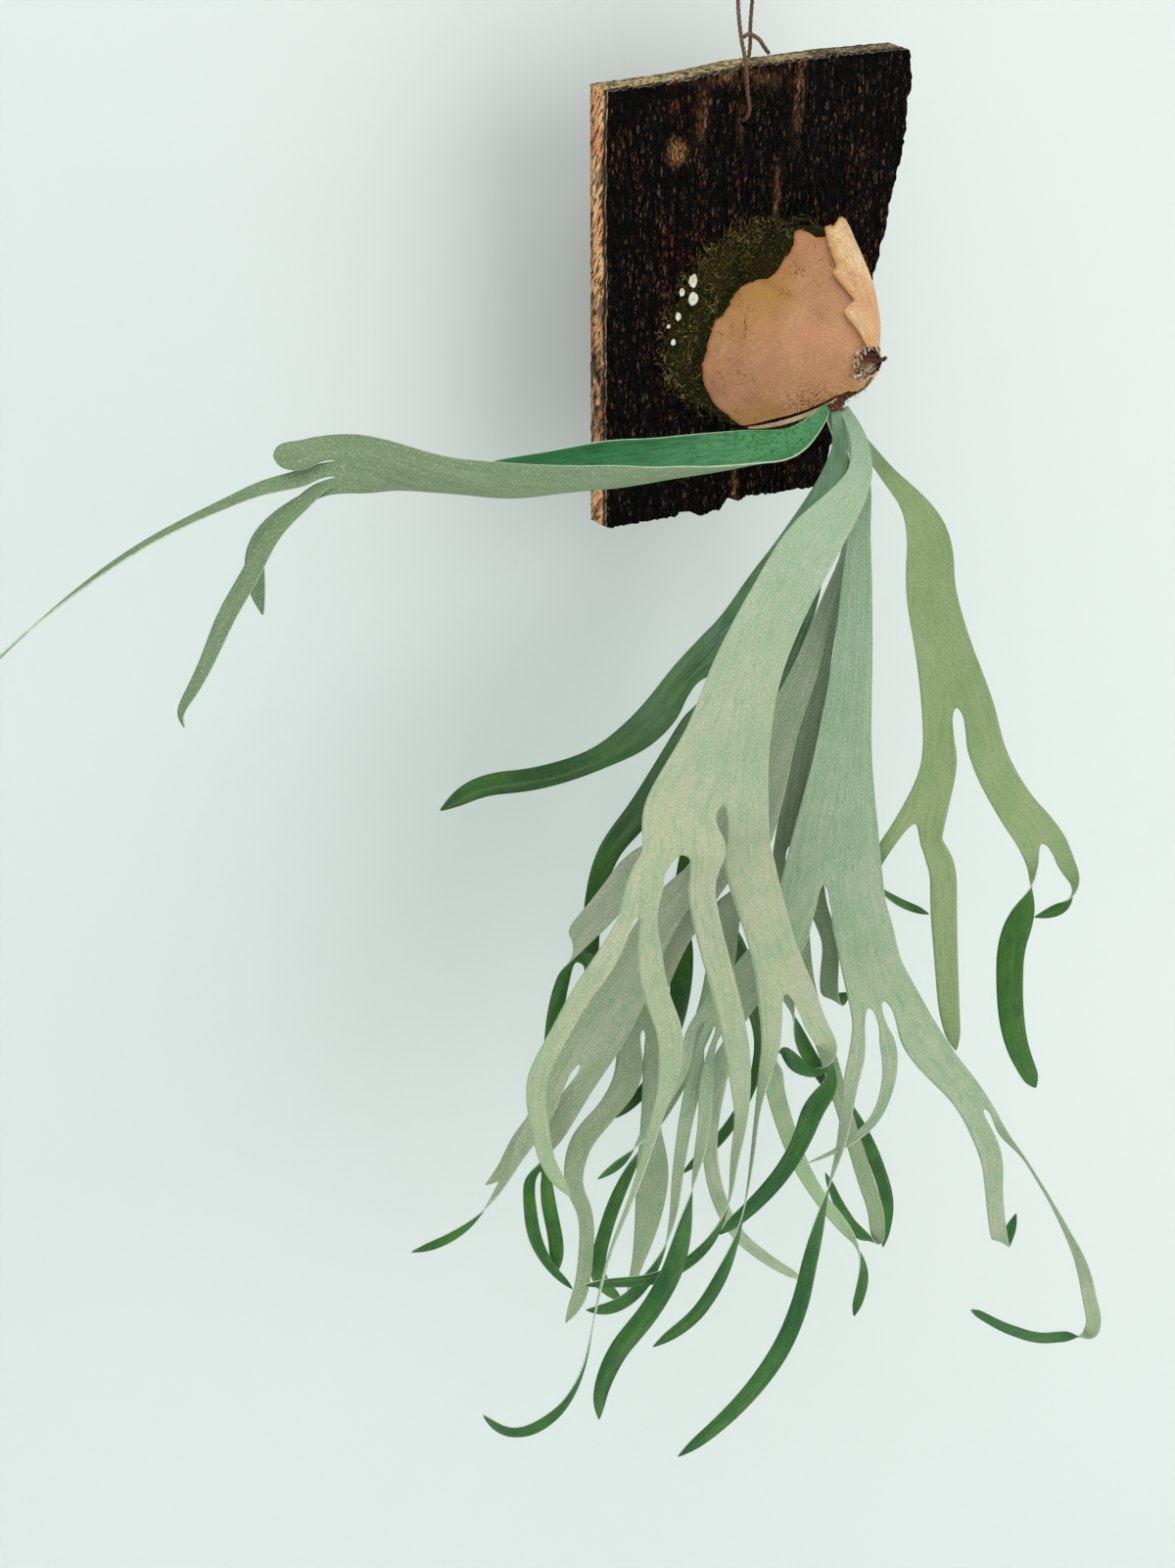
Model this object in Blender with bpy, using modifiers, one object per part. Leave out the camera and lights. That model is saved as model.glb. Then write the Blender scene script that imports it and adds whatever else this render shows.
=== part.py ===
"""Staghorn fern mounted on a slab of bark and hung from a loop of jute twine.

Metres, +Z up.  The origin is the middle of the slab's flat back: +Y runs into the wall and -Y into
the room.  Lengths in the tables below are millimetres, angles are degrees.
"""

import math
from collections import namedtuple

import bmesh
import bpy
import numpy as np
from mathutils import Vector

MM = 0.001
GAP = 0.3                 # clearance between pieces that touch

# Bark slab
SLAB_DEPTH = 22.0
SAW_SLOPE = 4.0           # the top saw cut falls this much from back to front
SLAB_OUTLINE = [(-103, 121), (-50, 128), (-9, 136), (19, 139), (56, 144), (117, 150),
                (122, 134), (119, 119), (121, 107), (118, 79), (114, 62), (112, 40), (108, 22),
                (104, -4), (97, -34), (94, -60), (84, -96), (78, -128),
                (56, -127), (36, -128), (14, -127), (6, -130), (-4, -127), (-10, -134),
                (-26, -137), (-39, -132), (-47, -135), (-70, -136), (-102, -137)]
SAWN_TOP_POINTS = 6       # the outline's first points lie along the top saw cut
HOLE = (-7.0, 107.0)      # x and z of the bored hole
HOLE_RADIUS = 2.2
GROOVE_WIDTH = 4.6
GROOVE_DEPTH = 4.6
GROOVE_TOP = (8.0, 146.0)

# Twine
TWINE_RADIUS = 1.3
TWINE_ROUTE = [(-7, -8, 107), (-7, -16, 107), (-7, -24, 108), (-7, -27, 113), (-8, -25.5, 121),
               (-9, -25, 131), (-10, -24, 139), (-10, -20, 147), (-10, -16, 157), (-10, -13, 169),
               (-9, -11, 180), (-3, -10, 187), (3, -9, 181), (4, -7, 170), (5, -5, 158),
               (6.6, -3.4, 149), (6.5, -2.5, 142), (3.0, -2.3, 133), (-1.2, -2.3, 122), (-5.2, -2.3, 111.5)]
HITCH_ROUTE = [(-7.4, -17.6, 151), (-3, -16, 152.5), (3, -13, 152), (9, -10, 150.4), (14, -8, 147.2),
               (18, -8, 143.8)]
TWINE_STEP = 3.0          # spacing of the tube's own points, millimetres

# Shield dome: a height over the slab in polar form around the growth bud
BUD = (35.0, -27.0)
DOME_EDGE_HEIGHT = 28.0   # height above the slab's back at the dome's rim
DOME_RISE = 86.0
DOME_POWER = 1.8
DOME_RIM = {0: 48, 15: 46, 30: 48, 45: 54, 60: 74, 68: 84, 75: 92, 90: 96, 112: 70, 130: 60, 150: 63,
            170: 71, 190: 74, 215: 74, 235: 71, 260: 58, 290: 50, 320: 48, 345: 50}
SHIELD_THICKNESS = 1.4
SHIELD_INNER_RADIUS = 9.0
LEFT_SHIELD_EDGE = {66: 62, 78: 66, 92: 67, 97: 71, 102: 73, 106: 64, 112: 58, 122: 55, 132: 57,
                    146: 60, 160: 65, 172: 69, 186: 72, 200: 71, 214: 69, 225: 65, 229: 44,
                    234: 24, 244: 19.0, 262: 18.2, 290: 17.6, 318: 17.6}
RIGHT_SHIELD_EDGE = {-58: 44, -40: 45, -20: 46.5, 0: 47, 15: 46, 30: 48, 45: 54, 60: 74, 70: 78,
                     78: 72, 82: 77, 86: 78, 90: 80, 94: 74}
FLAP_SIDE = {9: 108, 24: 108, 34: 100, 44: 103, 54: 97, 64: 97, 80: 92}   # radius: angle
RIGHT_SHIELD_LIFT = 1.8   # the right shield lies over the left one

# Moss mound
MOSS_OUTLINE = {0: 45, 30: 46, 45: 52, 60: 68, 80: 78, 97: 78, 110: 82, 119: 85, 132: 90, 144: 93,
                159: 96, 170: 99, 182: 98, 192: 92, 203: 82, 221: 70, 240: 62, 270: 52, 300: 46, 330: 44}
MOSS_UNDER_SHIELD = 2.2   # the moss lies this far under the dome
MOSS_SKIRT = 4.2
MOSS_STEP = 10            # degrees between the points of each ring
MOSS_RINGS = (0.12, 0.3, 0.46, 0.6, 0.7, 0.8, 0.9, 1.0)   # shares of the outline

# Rhizome and growth bud
RHIZOME_ROUTE = [(35.5, -88.4, -29), (32, -88, -36), (28, -90, -43), (25, -92, -50), (24, -93.5, -56)]
RHIZOME_RADIUS = 8.7
RHIZOME_TAPER = [0.6, 1.0, 1.0, 1.0, 0.9]
RHIZOME_STEP = 4.0
BUD_RADIUS = 7.4
BUD_BASE = -98.0          # y of the bud's inner end
BUD_LENGTH = 22.0

# Fertile fronds
ROOM_SIDE = (-0.40, -0.79, 0.46)   # where a blade with no turn shows its pale underside
BLADE_THICKNESS = 1.6
ROW_STEP = 30.0           # spacing of the rows of faces along a lobe
TIP_WIDTH = 0.3           # a tip's last row, as a share of the lobe's width
# A lobe is a list of stations (x, y, z, width, turn[, channel]).  The turn rolls the blade about its
# own line: 0 shows the underside to the room, 180 the upper face.  The channel is the angle through
# which the blade curves from edge to edge.  At its end a lobe splits into the lobes that follow,
# which share its width in the given parts, from one edge to the other.
Lobe = namedtuple("Lobe", "stations share forks")
CHANNEL = 15


def lobe(stations, share=1.0, *forks):
    rows = [s if len(s) == 6 else (*s, CHANNEL) for s in stations]
    return Lobe(np.array(rows, float), share, forks)


FROND_LEFT = lobe([(17.4, -97.6, -54.8, 6, -180, -30), (-8, -106, -68, 16, -174, -60),
     (-56, -114, -71, 36, -154, -130),
     (-114, -120, -71, 50, -143, -180), (-174, -126, -70, 60, -128, -200),
     (-230, -132, -69, 54, -109, -185), (-272, -138, -64, 37, -72, -110),
     (-300, -142, -55, 30, -30, -50), (-320, -143, -51, 29, -4, -10)], 1.0,
    lobe([(-334, -144, -43, 15, 0, 0), (-347, -145, -42, 12, 0, 0)], 0.44),
    lobe([(-336, -145, -54, 9, 0, 0), (-352, -147, -55, 7, 0, 0), (-372, -150, -60, 5, 10, 0),
         (-412, -152, -74, 4, 30, 0), (-434, -156, -84, 4, 40, 0), (-458, -158, -98, 3, 60, 0),
         (-482, -160, -114, 2, 80, 0), (-492, -162, -122, 2, 80, 0)], 0.26),
    lobe([(-334, -146, -64, 8, 0, 0), (-350, -149, -74, 8, 0, 0), (-367, -154, -95, 9, 0, 0),
         (-382, -156, -114, 9, 0, 0), (-394, -158, -134, 7, 0, 0), (-404, -160, -148, 6, 0, 0),
         (-412, -162, -156, 4, 10, 0), (-410, -162, -164, 4, 30, 0)], 0.18),
    lobe([(-336, -137, -67, 7, 20, 0), (-352, -134, -74, 6, 60, 0), (-360, -134, -88, 10, 0, 0),
         (-362, -136, -106, 11, 0, 0), (-360, -136, -122, 7, 0, 0)], 0.12))

FROND_BACK_LEFT = lobe([(24.5, -98, -57.6, 6, 180), (30, -100, -80, 10, 180), (26, -100, -102, 17, 180),
     (16, -94, -138, 30, 180), (8, -86, -176, 50, 180), (-8, -78, -222, 66, 180),
     (-30, -72, -256, 78, 180)], 1.0,
    lobe([(-36, -92, -308, 34, 180), (-62, -104, -352, 31, 180), (-76, -112, -402, 29, 180)], 0.38,
        lobe([(-48, -118, -426, 18, 180), (-30, -126, -480, 16, 180), (-18, -132, -538, 12, 180),
             (-28, -136, -576, 10, 180), (-54, -140, -608, 11, 180), (-92, -142, -630, 10, 180)], 0.50),
        lobe([(-90, -124, -452, 19, 180), (-100, -134, -488, 13, 180), (-126, -143, -522, 11, 180),
             (-148, -147, -534, 10, 180), (-172, -149, -534, 7, 180)], 0.50)),
    lobe([(-72, -74, -300, 27, 180), (-102, -80, -328, 24, 180), (-132, -86, -352, 20, 180),
         (-146, -90, -394, 17, 180), (-150, -96, -442, 14, 180), (-146, -100, -476, 10, 180),
         (-152, -102, -500, 8, 180)], 0.30),
    lobe([(-90, -56, -278, 28, 180), (-126, -50, -296, 20, 180), (-170, -46, -302, 20, 180),
         (-214, -44, -300, 18, 180), (-240, -42, -312, 11, 180)], 0.32))

FROND_CENTRE = lobe([(30.6, -98.6, -56.2, 6, 20), (34, -112, -72, 10, 10), (28, -126, -92, 16, 0),
     (4, -138, -110, 26, 0), (-24, -150, -126, 35, 0), (-52, -160, -154, 37, 0),
     (-82, -172, -194, 43, 0), (-98, -180, -234, 54, 0), (-108, -185, -258, 68, 0),
     (-114, -188, -274, 82, 0)], 1.0,
    lobe([(-139, -191, -294, 54, 0)], 0.62,
        lobe([(-164, -196, -300, 24, 0), (-174, -204, -322, 22, 0)], 0.48,
            lobe([(-194, -208, -340, 15, 0), (-214, -210, -360, 14, 0), (-234, -214, -386, 14, 0),
                 (-250, -216, -412, 16, 0), (-250, -220, -444, 14, 0), (-244, -222, -482, 12, 0),
                 (-232, -226, -508, 9, 0)], 0.48),
            lobe([(-168, -208, -350, 17, 0), (-164, -212, -380, 17, 0), (-156, -218, -412, 18, 0),
                 (-160, -224, -438, 15, 0), (-170, -230, -458, 9, 20), (-194, -242, -506, 9, 70),
                 (-218, -252, -546, 8, 85), (-234, -262, -586, 8, 95), (-246, -268, -624, 9, 115),
                 (-262, -272, -642, 10, 150), (-284, -274, -646, 10, 180),
                 (-304, -276, -632, 8, 180), (-318, -276, -606, 6, 180)], 0.52)),
        lobe([(-126, -196, -308, 20, 0), (-124, -204, -342, 18, 0), (-114, -210, -386, 19, 0),
             (-104, -216, -434, 20, 0), (-100, -220, -470, 18, 0), (-100, -224, -496, 12, 15),
             (-106, -228, -534, 10, 60), (-110, -230, -572, 10, 100), (-122, -232, -596, 10, 150),
             (-140, -232, -610, 10, 180), (-174, -236, -606, 10, 180), (-206, -236, -592, 8, 180),
             (-228, -238, -580, 6, 180)], 0.52)),
    lobe([(-80, -190, -322, 33, 0), (-69, -198, -366, 31, 0), (-58, -206, -408, 36, 0),
         (-54, -210, -424, 43, 0)], 0.38,
        lobe([(-72, -216, -442, 16, 0), (-80, -220, -470, 10, 30), (-86, -224, -494, 8, 70),
             (-92, -230, -532, 8, 80), (-98, -234, -572, 8, 100), (-106, -236, -608, 9, 140),
             (-118, -238, -634, 12, 180), (-140, -240, -660, 12, 180), (-174, -240, -672, 8, 180)], 0.50),
        lobe([(-28, -212, -460, 15, 0), (-10, -206, -492, 18, 80), (-6, -202, -518, 26, 180)], 0.50,
            lobe([(-18, -204, -532, 20, 180), (-28, -208, -556, 17, 180), (-46, -210, -586, 16, 180),
                 (-72, -212, -606, 14, 180), (-104, -214, -620, 10, 180)], 0.55),
            lobe([(-30, -198, -506, 14, 180), (-42, -190, -488, 14, 170), (-42, -182, -496, 14, 90),
                 (-40, -180, -522, 16, 10), (-26, -180, -572, 16, 0), (-10, -182, -616, 16, 0),
                 (18, -182, -672, 14, 0), (46, -184, -718, 14, 20), (66, -184, -756, 14, 90),
                 (78, -184, -796, 14, 160), (74, -184, -846, 10, 180)], 0.45))))

FROND_RIGHT_CENTRE = lobe([(28, -95.5, -58.5, 6, 0), (40, -100, -80, 8, 0), (40, -112, -102, 12, 0),
     (30, -126, -126, 14, 0),
     (26, -134, -162, 20, 0), (22, -142, -206, 26, 0), (14, -152, -274, 39, 0),
     (8, -160, -334, 60, 0), (4, -166, -378, 76, 0)], 1.0,
    lobe([(-30, -170, -398, 34, 0), (-58, -176, -418, 30, 0), (-84, -182, -434, 30, 0),
         (-104, -186, -450, 34, 0)], 0.42,
        lobe([(-124, -190, -464, 12, 0), (-140, -194, -482, 11, 10), (-160, -198, -508, 10, 40),
             (-178, -200, -524, 10, 150), (-200, -202, -530, 6, 180)], 0.25),
        lobe([(-118, -192, -478, 12, 0), (-130, -200, -514, 11, 0), (-138, -206, -552, 10, 20),
             (-144, -210, -594, 9, 70), (-156, -212, -626, 10, 140), (-174, -214, -644, 12, 180),
             (-194, -216, -646, 12, 180), (-216, -216, -636, 6, 180)], 0.25),
        lobe([(-114, -200, -476, 11, 0), (-122, -212, -508, 10, 20), (-136, -224, -540, 10, 80),
             (-150, -237, -564, 15, 150), (-162, -244, -592, 18, 180), (-184, -248, -622, 18, 180),
             (-210, -250, -646, 17, 180), (-224, -254, -672, 13, 180), (-226, -256, -698, 7, 180)], 0.25),
        lobe([(-94, -186, -484, 16, 0), (-100, -188, -518, 15, 0), (-100, -190, -564, 13, 0),
             (-94, -192, -600, 14, 0), (-82, -194, -636, 13, 0), (-66, -194, -666, 12, 0),
             (-42, -196, -698, 11, 0), (-4, -196, -742, 8, 0)], 0.25)),
    lobe([(38, -174, -422, 44, 0), (44, -182, -454, 46, 0), (54, -190, -482, 55, 0)], 0.58,
        lobe([(24, -198, -498, 14, 0), (14, -204, -526, 12, 0), (10, -208, -554, 10, 30),
             (2, -214, -588, 11, 75), (-10, -220, -614, 12, 110), (-20, -226, -642, 14, 150),
             (-30, -232, -672, 15, 180), (-40, -238, -706, 17, 180), (-60, -244, -742, 18, 180),
             (-94, -250, -768, 16, 180), (-130, -254, -782, 13, 180), (-158, -256, -788, 8, 180)], 0.27),
        lobe([(54, -198, -518, 14, 0), (52, -204, -550, 12, 0), (40, -208, -574, 9, 20),
             (22, -210, -582, 8, 50), (0, -212, -586, 6, 75), (-28, -214, -584, 5, 80)], 0.23),
        lobe([(86, -202, -516, 32, 0), (104, -210, -544, 29, 0), (126, -220, -574, 26, 0),
             (138, -226, -596, 27, 0)], 0.50,
            lobe([(146, -236, -636, 20, 0), (150, -244, -676, 18, 0), (154, -250, -706, 18, 0),
                 (168, -248, -736, 16, 80), (184, -240, -744, 14, 180), (196, -234, -728, 10, 180)], 0.72),
            lobe([(164, -230, -626, 8, 40), (182, -236, -650, 9, 80), (208, -244, -692, 10, 85),
                 (240, -252, -748, 11, 70), (266, -260, -800, 14, 45), (280, -268, -846, 16, 10),
                 (288, -274, -882, 18, 0), (288, -270, -902, 16, 90), (272, -264, -898, 13, 180),
                 (240, -260, -886, 13, 180), (196, -258, -852, 12, 180),
(136, -256, -792, 8, 180)], 0.28))))

FROND_RIGHT = lobe([(30, -91.5, -59.1, 6, 0), (56, -98, -86, 8, 0), (60, -116, -100, 11, 0),
     (76, -124, -118, 18, 0),
     (84, -132, -138, 29, 0), (84, -142, -174, 34, 0), (94, -152, -216, 40, 0),
     (108, -160, -262, 53, 0)], 1.0,
    lobe([(92, -166, -300, 26, 0), (78, -172, -328, 31, 0), (70, -174, -342, 38, 0)], 0.50,
        lobe([(48, -174, -346, 14, 0), (38, -172, -360, 10, 40), (44, -168, -380, 8, 90),
             (68, -164, -404, 8, 140), (112, -160, -434, 6, 180)], 0.40),
        lobe([(98, -178, -374, 21, 0), (104, -182, -416, 22, 0), (110, -188, -464, 20, 0),
             (116, -194, -508, 18, 0), (126, -198, -546, 10, 0)], 0.60)),
    lobe([(142, -168, -306, 28, 0), (172, -174, -350, 31, 0), (204, -178, -388, 38, 0)], 0.50,
        lobe([(196, -182, -412, 9, 60), (188, -186, -434, 20, 160), (176, -190, -460, 24, 180),
             (176, -196, -502, 24, 180), (190, -200, -556, 22, 180), (224, -204, -620, 14, 180)], 0.50),
        lobe([(232, -182, -412, 14, 20), (248, -180, -438, 13, 90), (248, -174, -460, 14, 170),
             (220, -170, -464, 7, 180)], 0.50)))

FROND_BACK_CENTRE = lobe([(22, -93, -58.5, 5, 0), (40, -98, -100, 6, 0), (34, -112, -148, 8, 0),
     (18, -118, -176, 10, 0),
     (-4, -126, -222, 18, 0), (-26, -132, -258, 26, 0), (-50, -138, -302, 44, 0),
     (-82, -144, -342, 64, 0)], 1.0,
    lobe([(-126, -128, -332, 22, 0), (-142, -124, -356, 22, 0), (-162, -120, -380, 20, 0),
         (-176, -116, -396, 19, 20), (-178, -110, -412, 20, 120), (-166, -106, -424, 28, 180)], 0.25,
        lobe([(-146, -106, -444, 16, 180), (-140, -108, -472, 12, 180), (-156, -110, -500, 9, 180),
             (-170, -112, -524, 6, 180)], 0.45),
        lobe([(-180, -106, -440, 12, 180), (-188, -108, -472, 12, 180), (-194, -110, -506, 10, 150),
             (-204, -112, -538, 12, 100), (-222, -114, -562, 13, 30), (-238, -116, -588, 12, 0),
             (-250, -118, -590, 9, 0)], 0.55)),
    lobe([(-128, -150, -380, 26, 0), (-148, -154, -412, 32, 0), (-174, -158, -450, 36, 0),
         (-194, -162, -470, 34, 0)], 0.30,
        lobe([(-226, -168, -490, 18, 0), (-246, -172, -514, 12, 20), (-264, -176, -538, 8, 60),
             (-284, -178, -554, 8, 140), (-306, -180, -558, 8, 180), (-328, -182, -554, 6, 180)], 0.50),
        lobe([(-202, -160, -498, 19, 0), (-216, -158, -532, 16, 60), (-224, -156, -558, 21, 180)], 0.50,
            lobe([(-216, -158, -594, 13, 180), (-212, -160, -634, 14, 180),
                 (-214, -162, -658, 10, 180)], 0.50),
            lobe([(-232, -158, -578, 10, 180), (-230, -160, -610, 12, 180),
                 (-220, -162, -644, 9, 180), (-200, -162, -682, 6, 180)], 0.50))),
    lobe([(-110, -146, -396, 20, 0), (-130, -148, -430, 25, 0), (-140, -150, -466, 30, 0)], 0.22,
        lobe([(-146, -152, -496, 24, 0), (-166, -156, -518, 17, 0), (-192, -160, -538, 20, 0),
             (-200, -164, -566, 17, 0), (-192, -168, -600, 14, 0), (-194, -172, -642, 14, 0),
             (-202, -176, -676, 14, 0), (-214, -178, -694, 6, 0)], 0.60),
        lobe([(-130, -152, -500, 13, 0), (-132, -156, -542, 16, 0), (-132, -162, -596, 31, 0),
             (-140, -168, -642, 22, 0), (-150, -172, -676, 10, 0), (-160, -176, -702, 6, 30)], 0.40)),
    lobe([(-66, -142, -388, 22, 0), (-66, -140, -428, 22, 0), (-72, -136, -478, 19, 0),
         (-88, -132, -530, 18, 20), (-106, -128, -576, 16, 60), (-134, -126, -628, 14, 150),
         (-150, -124, -676, 14, 180), (-158, -124, -730, 16, 180), (-134, -122, -778, 8, 180)], 0.23))

FROND_BACK_RIGHT = lobe([(26, -89, -59, 5, 0), (46, -94, -108, 6, 0), (34, -110, -162, 8, 0),
     (22, -116, -198, 10, 0),
     (12, -122, -242, 15, 0), (6, -126, -280, 20, 0), (0, -130, -322, 26, 0),
     (-2, -134, -360, 36, 0)], 1.0,
    lobe([(-8, -132, -412, 14, 0), (-4, -136, -472, 15, 20), (16, -140, -538, 16, 150),
         (46, -144, -592, 14, 180), (78, -146, -642, 14, 180), (110, -148, -708, 15, 180),
         (130, -150, -770, 14, 180), (132, -150, -822, 8, 180)], 0.34),
    lobe([(2, -138, -410, 14, 0), (8, -146, -470, 15, 0), (34, -154, -552, 16, 0),
         (60, -160, -632, 16, 0), (82, -166, -698, 18, 0), (100, -168, -752, 18, 0),
         (104, -166, -786, 16, 90), (88, -160, -770, 14, 180), (68, -158, -736, 12, 180),
         (44, -156, -680, 6, 180)], 0.33),
    lobe([(18, -140, -410, 16, 0), (30, -146, -446, 16, 0), (28, -150, -474, 18, 0),
         (36, -148, -500, 17, 80), (54, -142, -506, 12, 180), (60, -140, -506, 6, 180)], 0.33))

FRONDS = {
    "left_frond": FROND_LEFT,
    "back_left_frond": FROND_BACK_LEFT,
    "centre_frond": FROND_CENTRE,
    "right_centre_frond": FROND_RIGHT_CENTRE,
    "right_frond": FROND_RIGHT,
    "back_centre_frond": FROND_BACK_CENTRE,
    "back_right_frond": FROND_BACK_RIGHT,
}

# Fungi: x, z, cap radius and stem length
MUSHROOMS = [(-44, 16, 2.8, 3.5), (-50, 11, 1.9, 2.5), (-44, 5, 3.1, 3.5), (-53, -2, 1.6, 5.0),
             (-59, -10, 1.3, 2.0), (-56, -19, 1.6, 2.0)]


def clear_scene():
    for obj in list(bpy.data.objects):
        bpy.data.objects.remove(obj, do_unlink=True)


def new_collection(name):
    collection = bpy.data.collections.new(name)
    bpy.context.scene.collection.children.link(collection)
    return collection


def new_material(name, colour, roughness):
    """A Principled material; the colour is linear RGB."""
    material = bpy.data.materials.new(name)
    material.use_nodes = True
    shader = material.node_tree.nodes["Principled BSDF"]
    shader.inputs["Base Color"].default_value = (*colour, 1.0)
    shader.inputs["Roughness"].default_value = roughness
    shader.inputs["Metallic"].default_value = 0.0
    return material


def add_object(name, data, material, collection):
    obj = bpy.data.objects.new(name, data)
    obj.data.materials.append(material)
    collection.objects.link(obj)
    return obj


def add_bmesh(name, bm, material, collection):
    """Turns a bmesh drawn in millimetres into an object in metres."""
    bmesh.ops.scale(bm, vec=(MM, MM, MM), verts=bm.verts)
    mesh = bpy.data.meshes.new(name)
    bm.to_mesh(mesh)
    bm.free()
    return add_object(name, mesh, material, collection)


def make_cutter(obj):
    obj.hide_render = True
    obj.display_type = "WIRE"


def cut(obj, cutter):
    modifier = obj.modifiers.new(cutter.name, "BOOLEAN")
    modifier.operation = "DIFFERENCE"
    modifier.solver = "EXACT"
    modifier.object = cutter


def solidify(obj, thickness, offset):
    modifier = obj.modifiers.new("Thickness", "SOLIDIFY")
    modifier.thickness = thickness * MM
    modifier.offset = offset
    modifier.use_even_offset = True
    modifier.thickness_clamp = 1.0


def around(table, angle):
    """Reads a table of angle: value at an angle, both in degrees, joining its ends."""
    return np.interp(angle, list(table), list(table.values()), period=360)


def smooth_route(route, step):
    """Points a step apart along a smooth curve through a route."""
    points = [Vector(p) for p in route]
    ends = [2 * points[0] - points[1], *points, 2 * points[-1] - points[-2]]
    fine = []
    for before, here, there, after in zip(ends, ends[1:], ends[2:], ends[3:]):
        parts = max(1, round((there - here).length / step))
        for i in range(parts):
            t = i / parts
            fine.append(0.5 * (2 * here + (there - before) * t
                               + (2 * before - 5 * here + 4 * there - after) * t ** 2
                               + (3 * here - before - 3 * there + after) * t ** 3))
    return [*fine, points[-1]]


def add_tube(name, route, radius, material, collection, step=TWINE_STEP, radii=None):
    """A round tube with filled ends; radii scale it from the first point to the last."""
    points = smooth_route(route, step)
    curve = bpy.data.curves.new(name, "CURVE")
    curve.dimensions = "3D"
    curve.bevel_depth = radius * MM
    curve.bevel_resolution = 2
    curve.use_fill_caps = True
    curve.render_resolution_u = 0
    spline = curve.splines.new("POLY")
    spline.points.add(len(points) - 1)
    for i, (target, point) in enumerate(zip(spline.points, points)):
        target.co = (*(point * MM), 1.0)
        if radii:
            target.radius = np.interp(i / (len(points) - 1), np.linspace(0, 1, len(radii)), radii)
    return add_object(name, curve, material, collection)


def as_mesh(obj, material, collection):
    """Replaces a curve object by a mesh of the same shape with its caps welded on."""
    name = obj.name
    evaluated = obj.evaluated_get(bpy.context.evaluated_depsgraph_get())
    bm = bmesh.new()
    bm.from_mesh(bpy.data.meshes.new_from_object(evaluated))
    bmesh.ops.remove_doubles(bm, verts=bm.verts, dist=0.00001)
    mesh = bpy.data.meshes.new(name)
    bm.to_mesh(mesh)
    bm.free()
    mesh.materials.clear()
    matrix = obj.matrix_world.copy()
    bpy.data.objects.remove(obj, do_unlink=True)
    made = add_object(name, mesh, material, collection)
    made.matrix_world = matrix
    return made


# Bark slab

def build_slab(parts, cutters, material):
    """A prism between the front outline and the back one, which the sloping saw cut makes taller."""
    bm = bmesh.new()
    front = [bm.verts.new((x, -SLAB_DEPTH, z)) for x, z in SLAB_OUTLINE]
    back = []
    for i, (x, z) in enumerate(SLAB_OUTLINE):
        rise = SAW_SLOPE if i < SAWN_TOP_POINTS else 0.0
        back.append(bm.verts.new((x, 0.0, z + rise)))
    bm.faces.new(front)
    bm.faces.new(back[::-1])
    count = len(front)
    for i in range(count):
        after = (i + 1) % count
        bm.faces.new((front[after], front[i], back[i], back[after]))
    bmesh.ops.recalc_face_normals(bm, faces=bm.faces)
    slab = add_bmesh("bark_slab", bm, material, parts)

    bpy.ops.mesh.primitive_cylinder_add(vertices=16, radius=HOLE_RADIUS * MM,
                                        depth=(SLAB_DEPTH + 4) * MM)
    bore = bpy.context.object
    bore.name = "hole_cutter"
    bore.location = (HOLE[0] * MM, -SLAB_DEPTH / 2 * MM, HOLE[1] * MM)
    bore.rotation_euler = (math.pi / 2, 0, 0)
    groove_run = Vector((GROOVE_TOP[0] - HOLE[0], GROOVE_TOP[1] - HOLE[1]))
    bpy.ops.mesh.primitive_cube_add(size=1)
    groove = bpy.context.object
    groove.name = "groove_cutter"
    groove.scale = (GROOVE_WIDTH * MM, 2 * GROOVE_DEPTH * MM, groove_run.length * MM)
    groove.location = ((HOLE[0] + GROOVE_TOP[0]) / 2 * MM, 0, (HOLE[1] + GROOVE_TOP[1]) / 2 * MM)
    groove.rotation_euler = (0, math.atan2(groove_run.x, groove_run.y), 0)
    for cutter in (bore, groove):
        for collection in list(cutter.users_collection):
            collection.objects.unlink(cutter)
        cutters.objects.link(cutter)
        make_cutter(cutter)
        cut(slab, cutter)
    return slab


# Shields and moss

def dome_height(x, z):
    """How far the dome stands in front of the slab's back plane."""
    across, up = x - BUD[0], z - BUD[1]
    angle = math.degrees(math.atan2(up, across))
    share = min(math.hypot(across, up) / around(DOME_RIM, angle), 1.3)
    return DOME_EDGE_HEIGHT + DOME_RISE * (1 - share ** DOME_POWER)


def dome_point(angle, radius, lift):
    """A point on the dome, moved out along the dome's normal by the lift."""
    x = BUD[0] + radius * math.cos(math.radians(angle))
    z = BUD[1] + radius * math.sin(math.radians(angle))
    slope_x = dome_height(x + 0.5, z) - dome_height(x - 0.5, z)
    slope_z = dome_height(x, z + 0.5) - dome_height(x, z - 0.5)
    normal = Vector((-slope_x, -1.0, -slope_z)).normalized()
    return Vector((x, -dome_height(x, z), z)) + normal * lift


def sheet(columns):
    """A bmesh of quads through a grid of points, one list of points for each column."""
    bm = bmesh.new()
    grid = [[bm.verts.new(p) for p in column] for column in columns]
    for left, right in zip(grid, grid[1:]):
        for a, b, c, d in zip(left, left[1:], right[1:], right):
            bm.faces.new((a, b, c, d))
    return bm


def between(angles):
    """The angles with one more between each two."""
    halves = [(a + b) / 2 for a, b in zip(angles, angles[1:])]
    return sorted([*angles, *halves])


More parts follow.
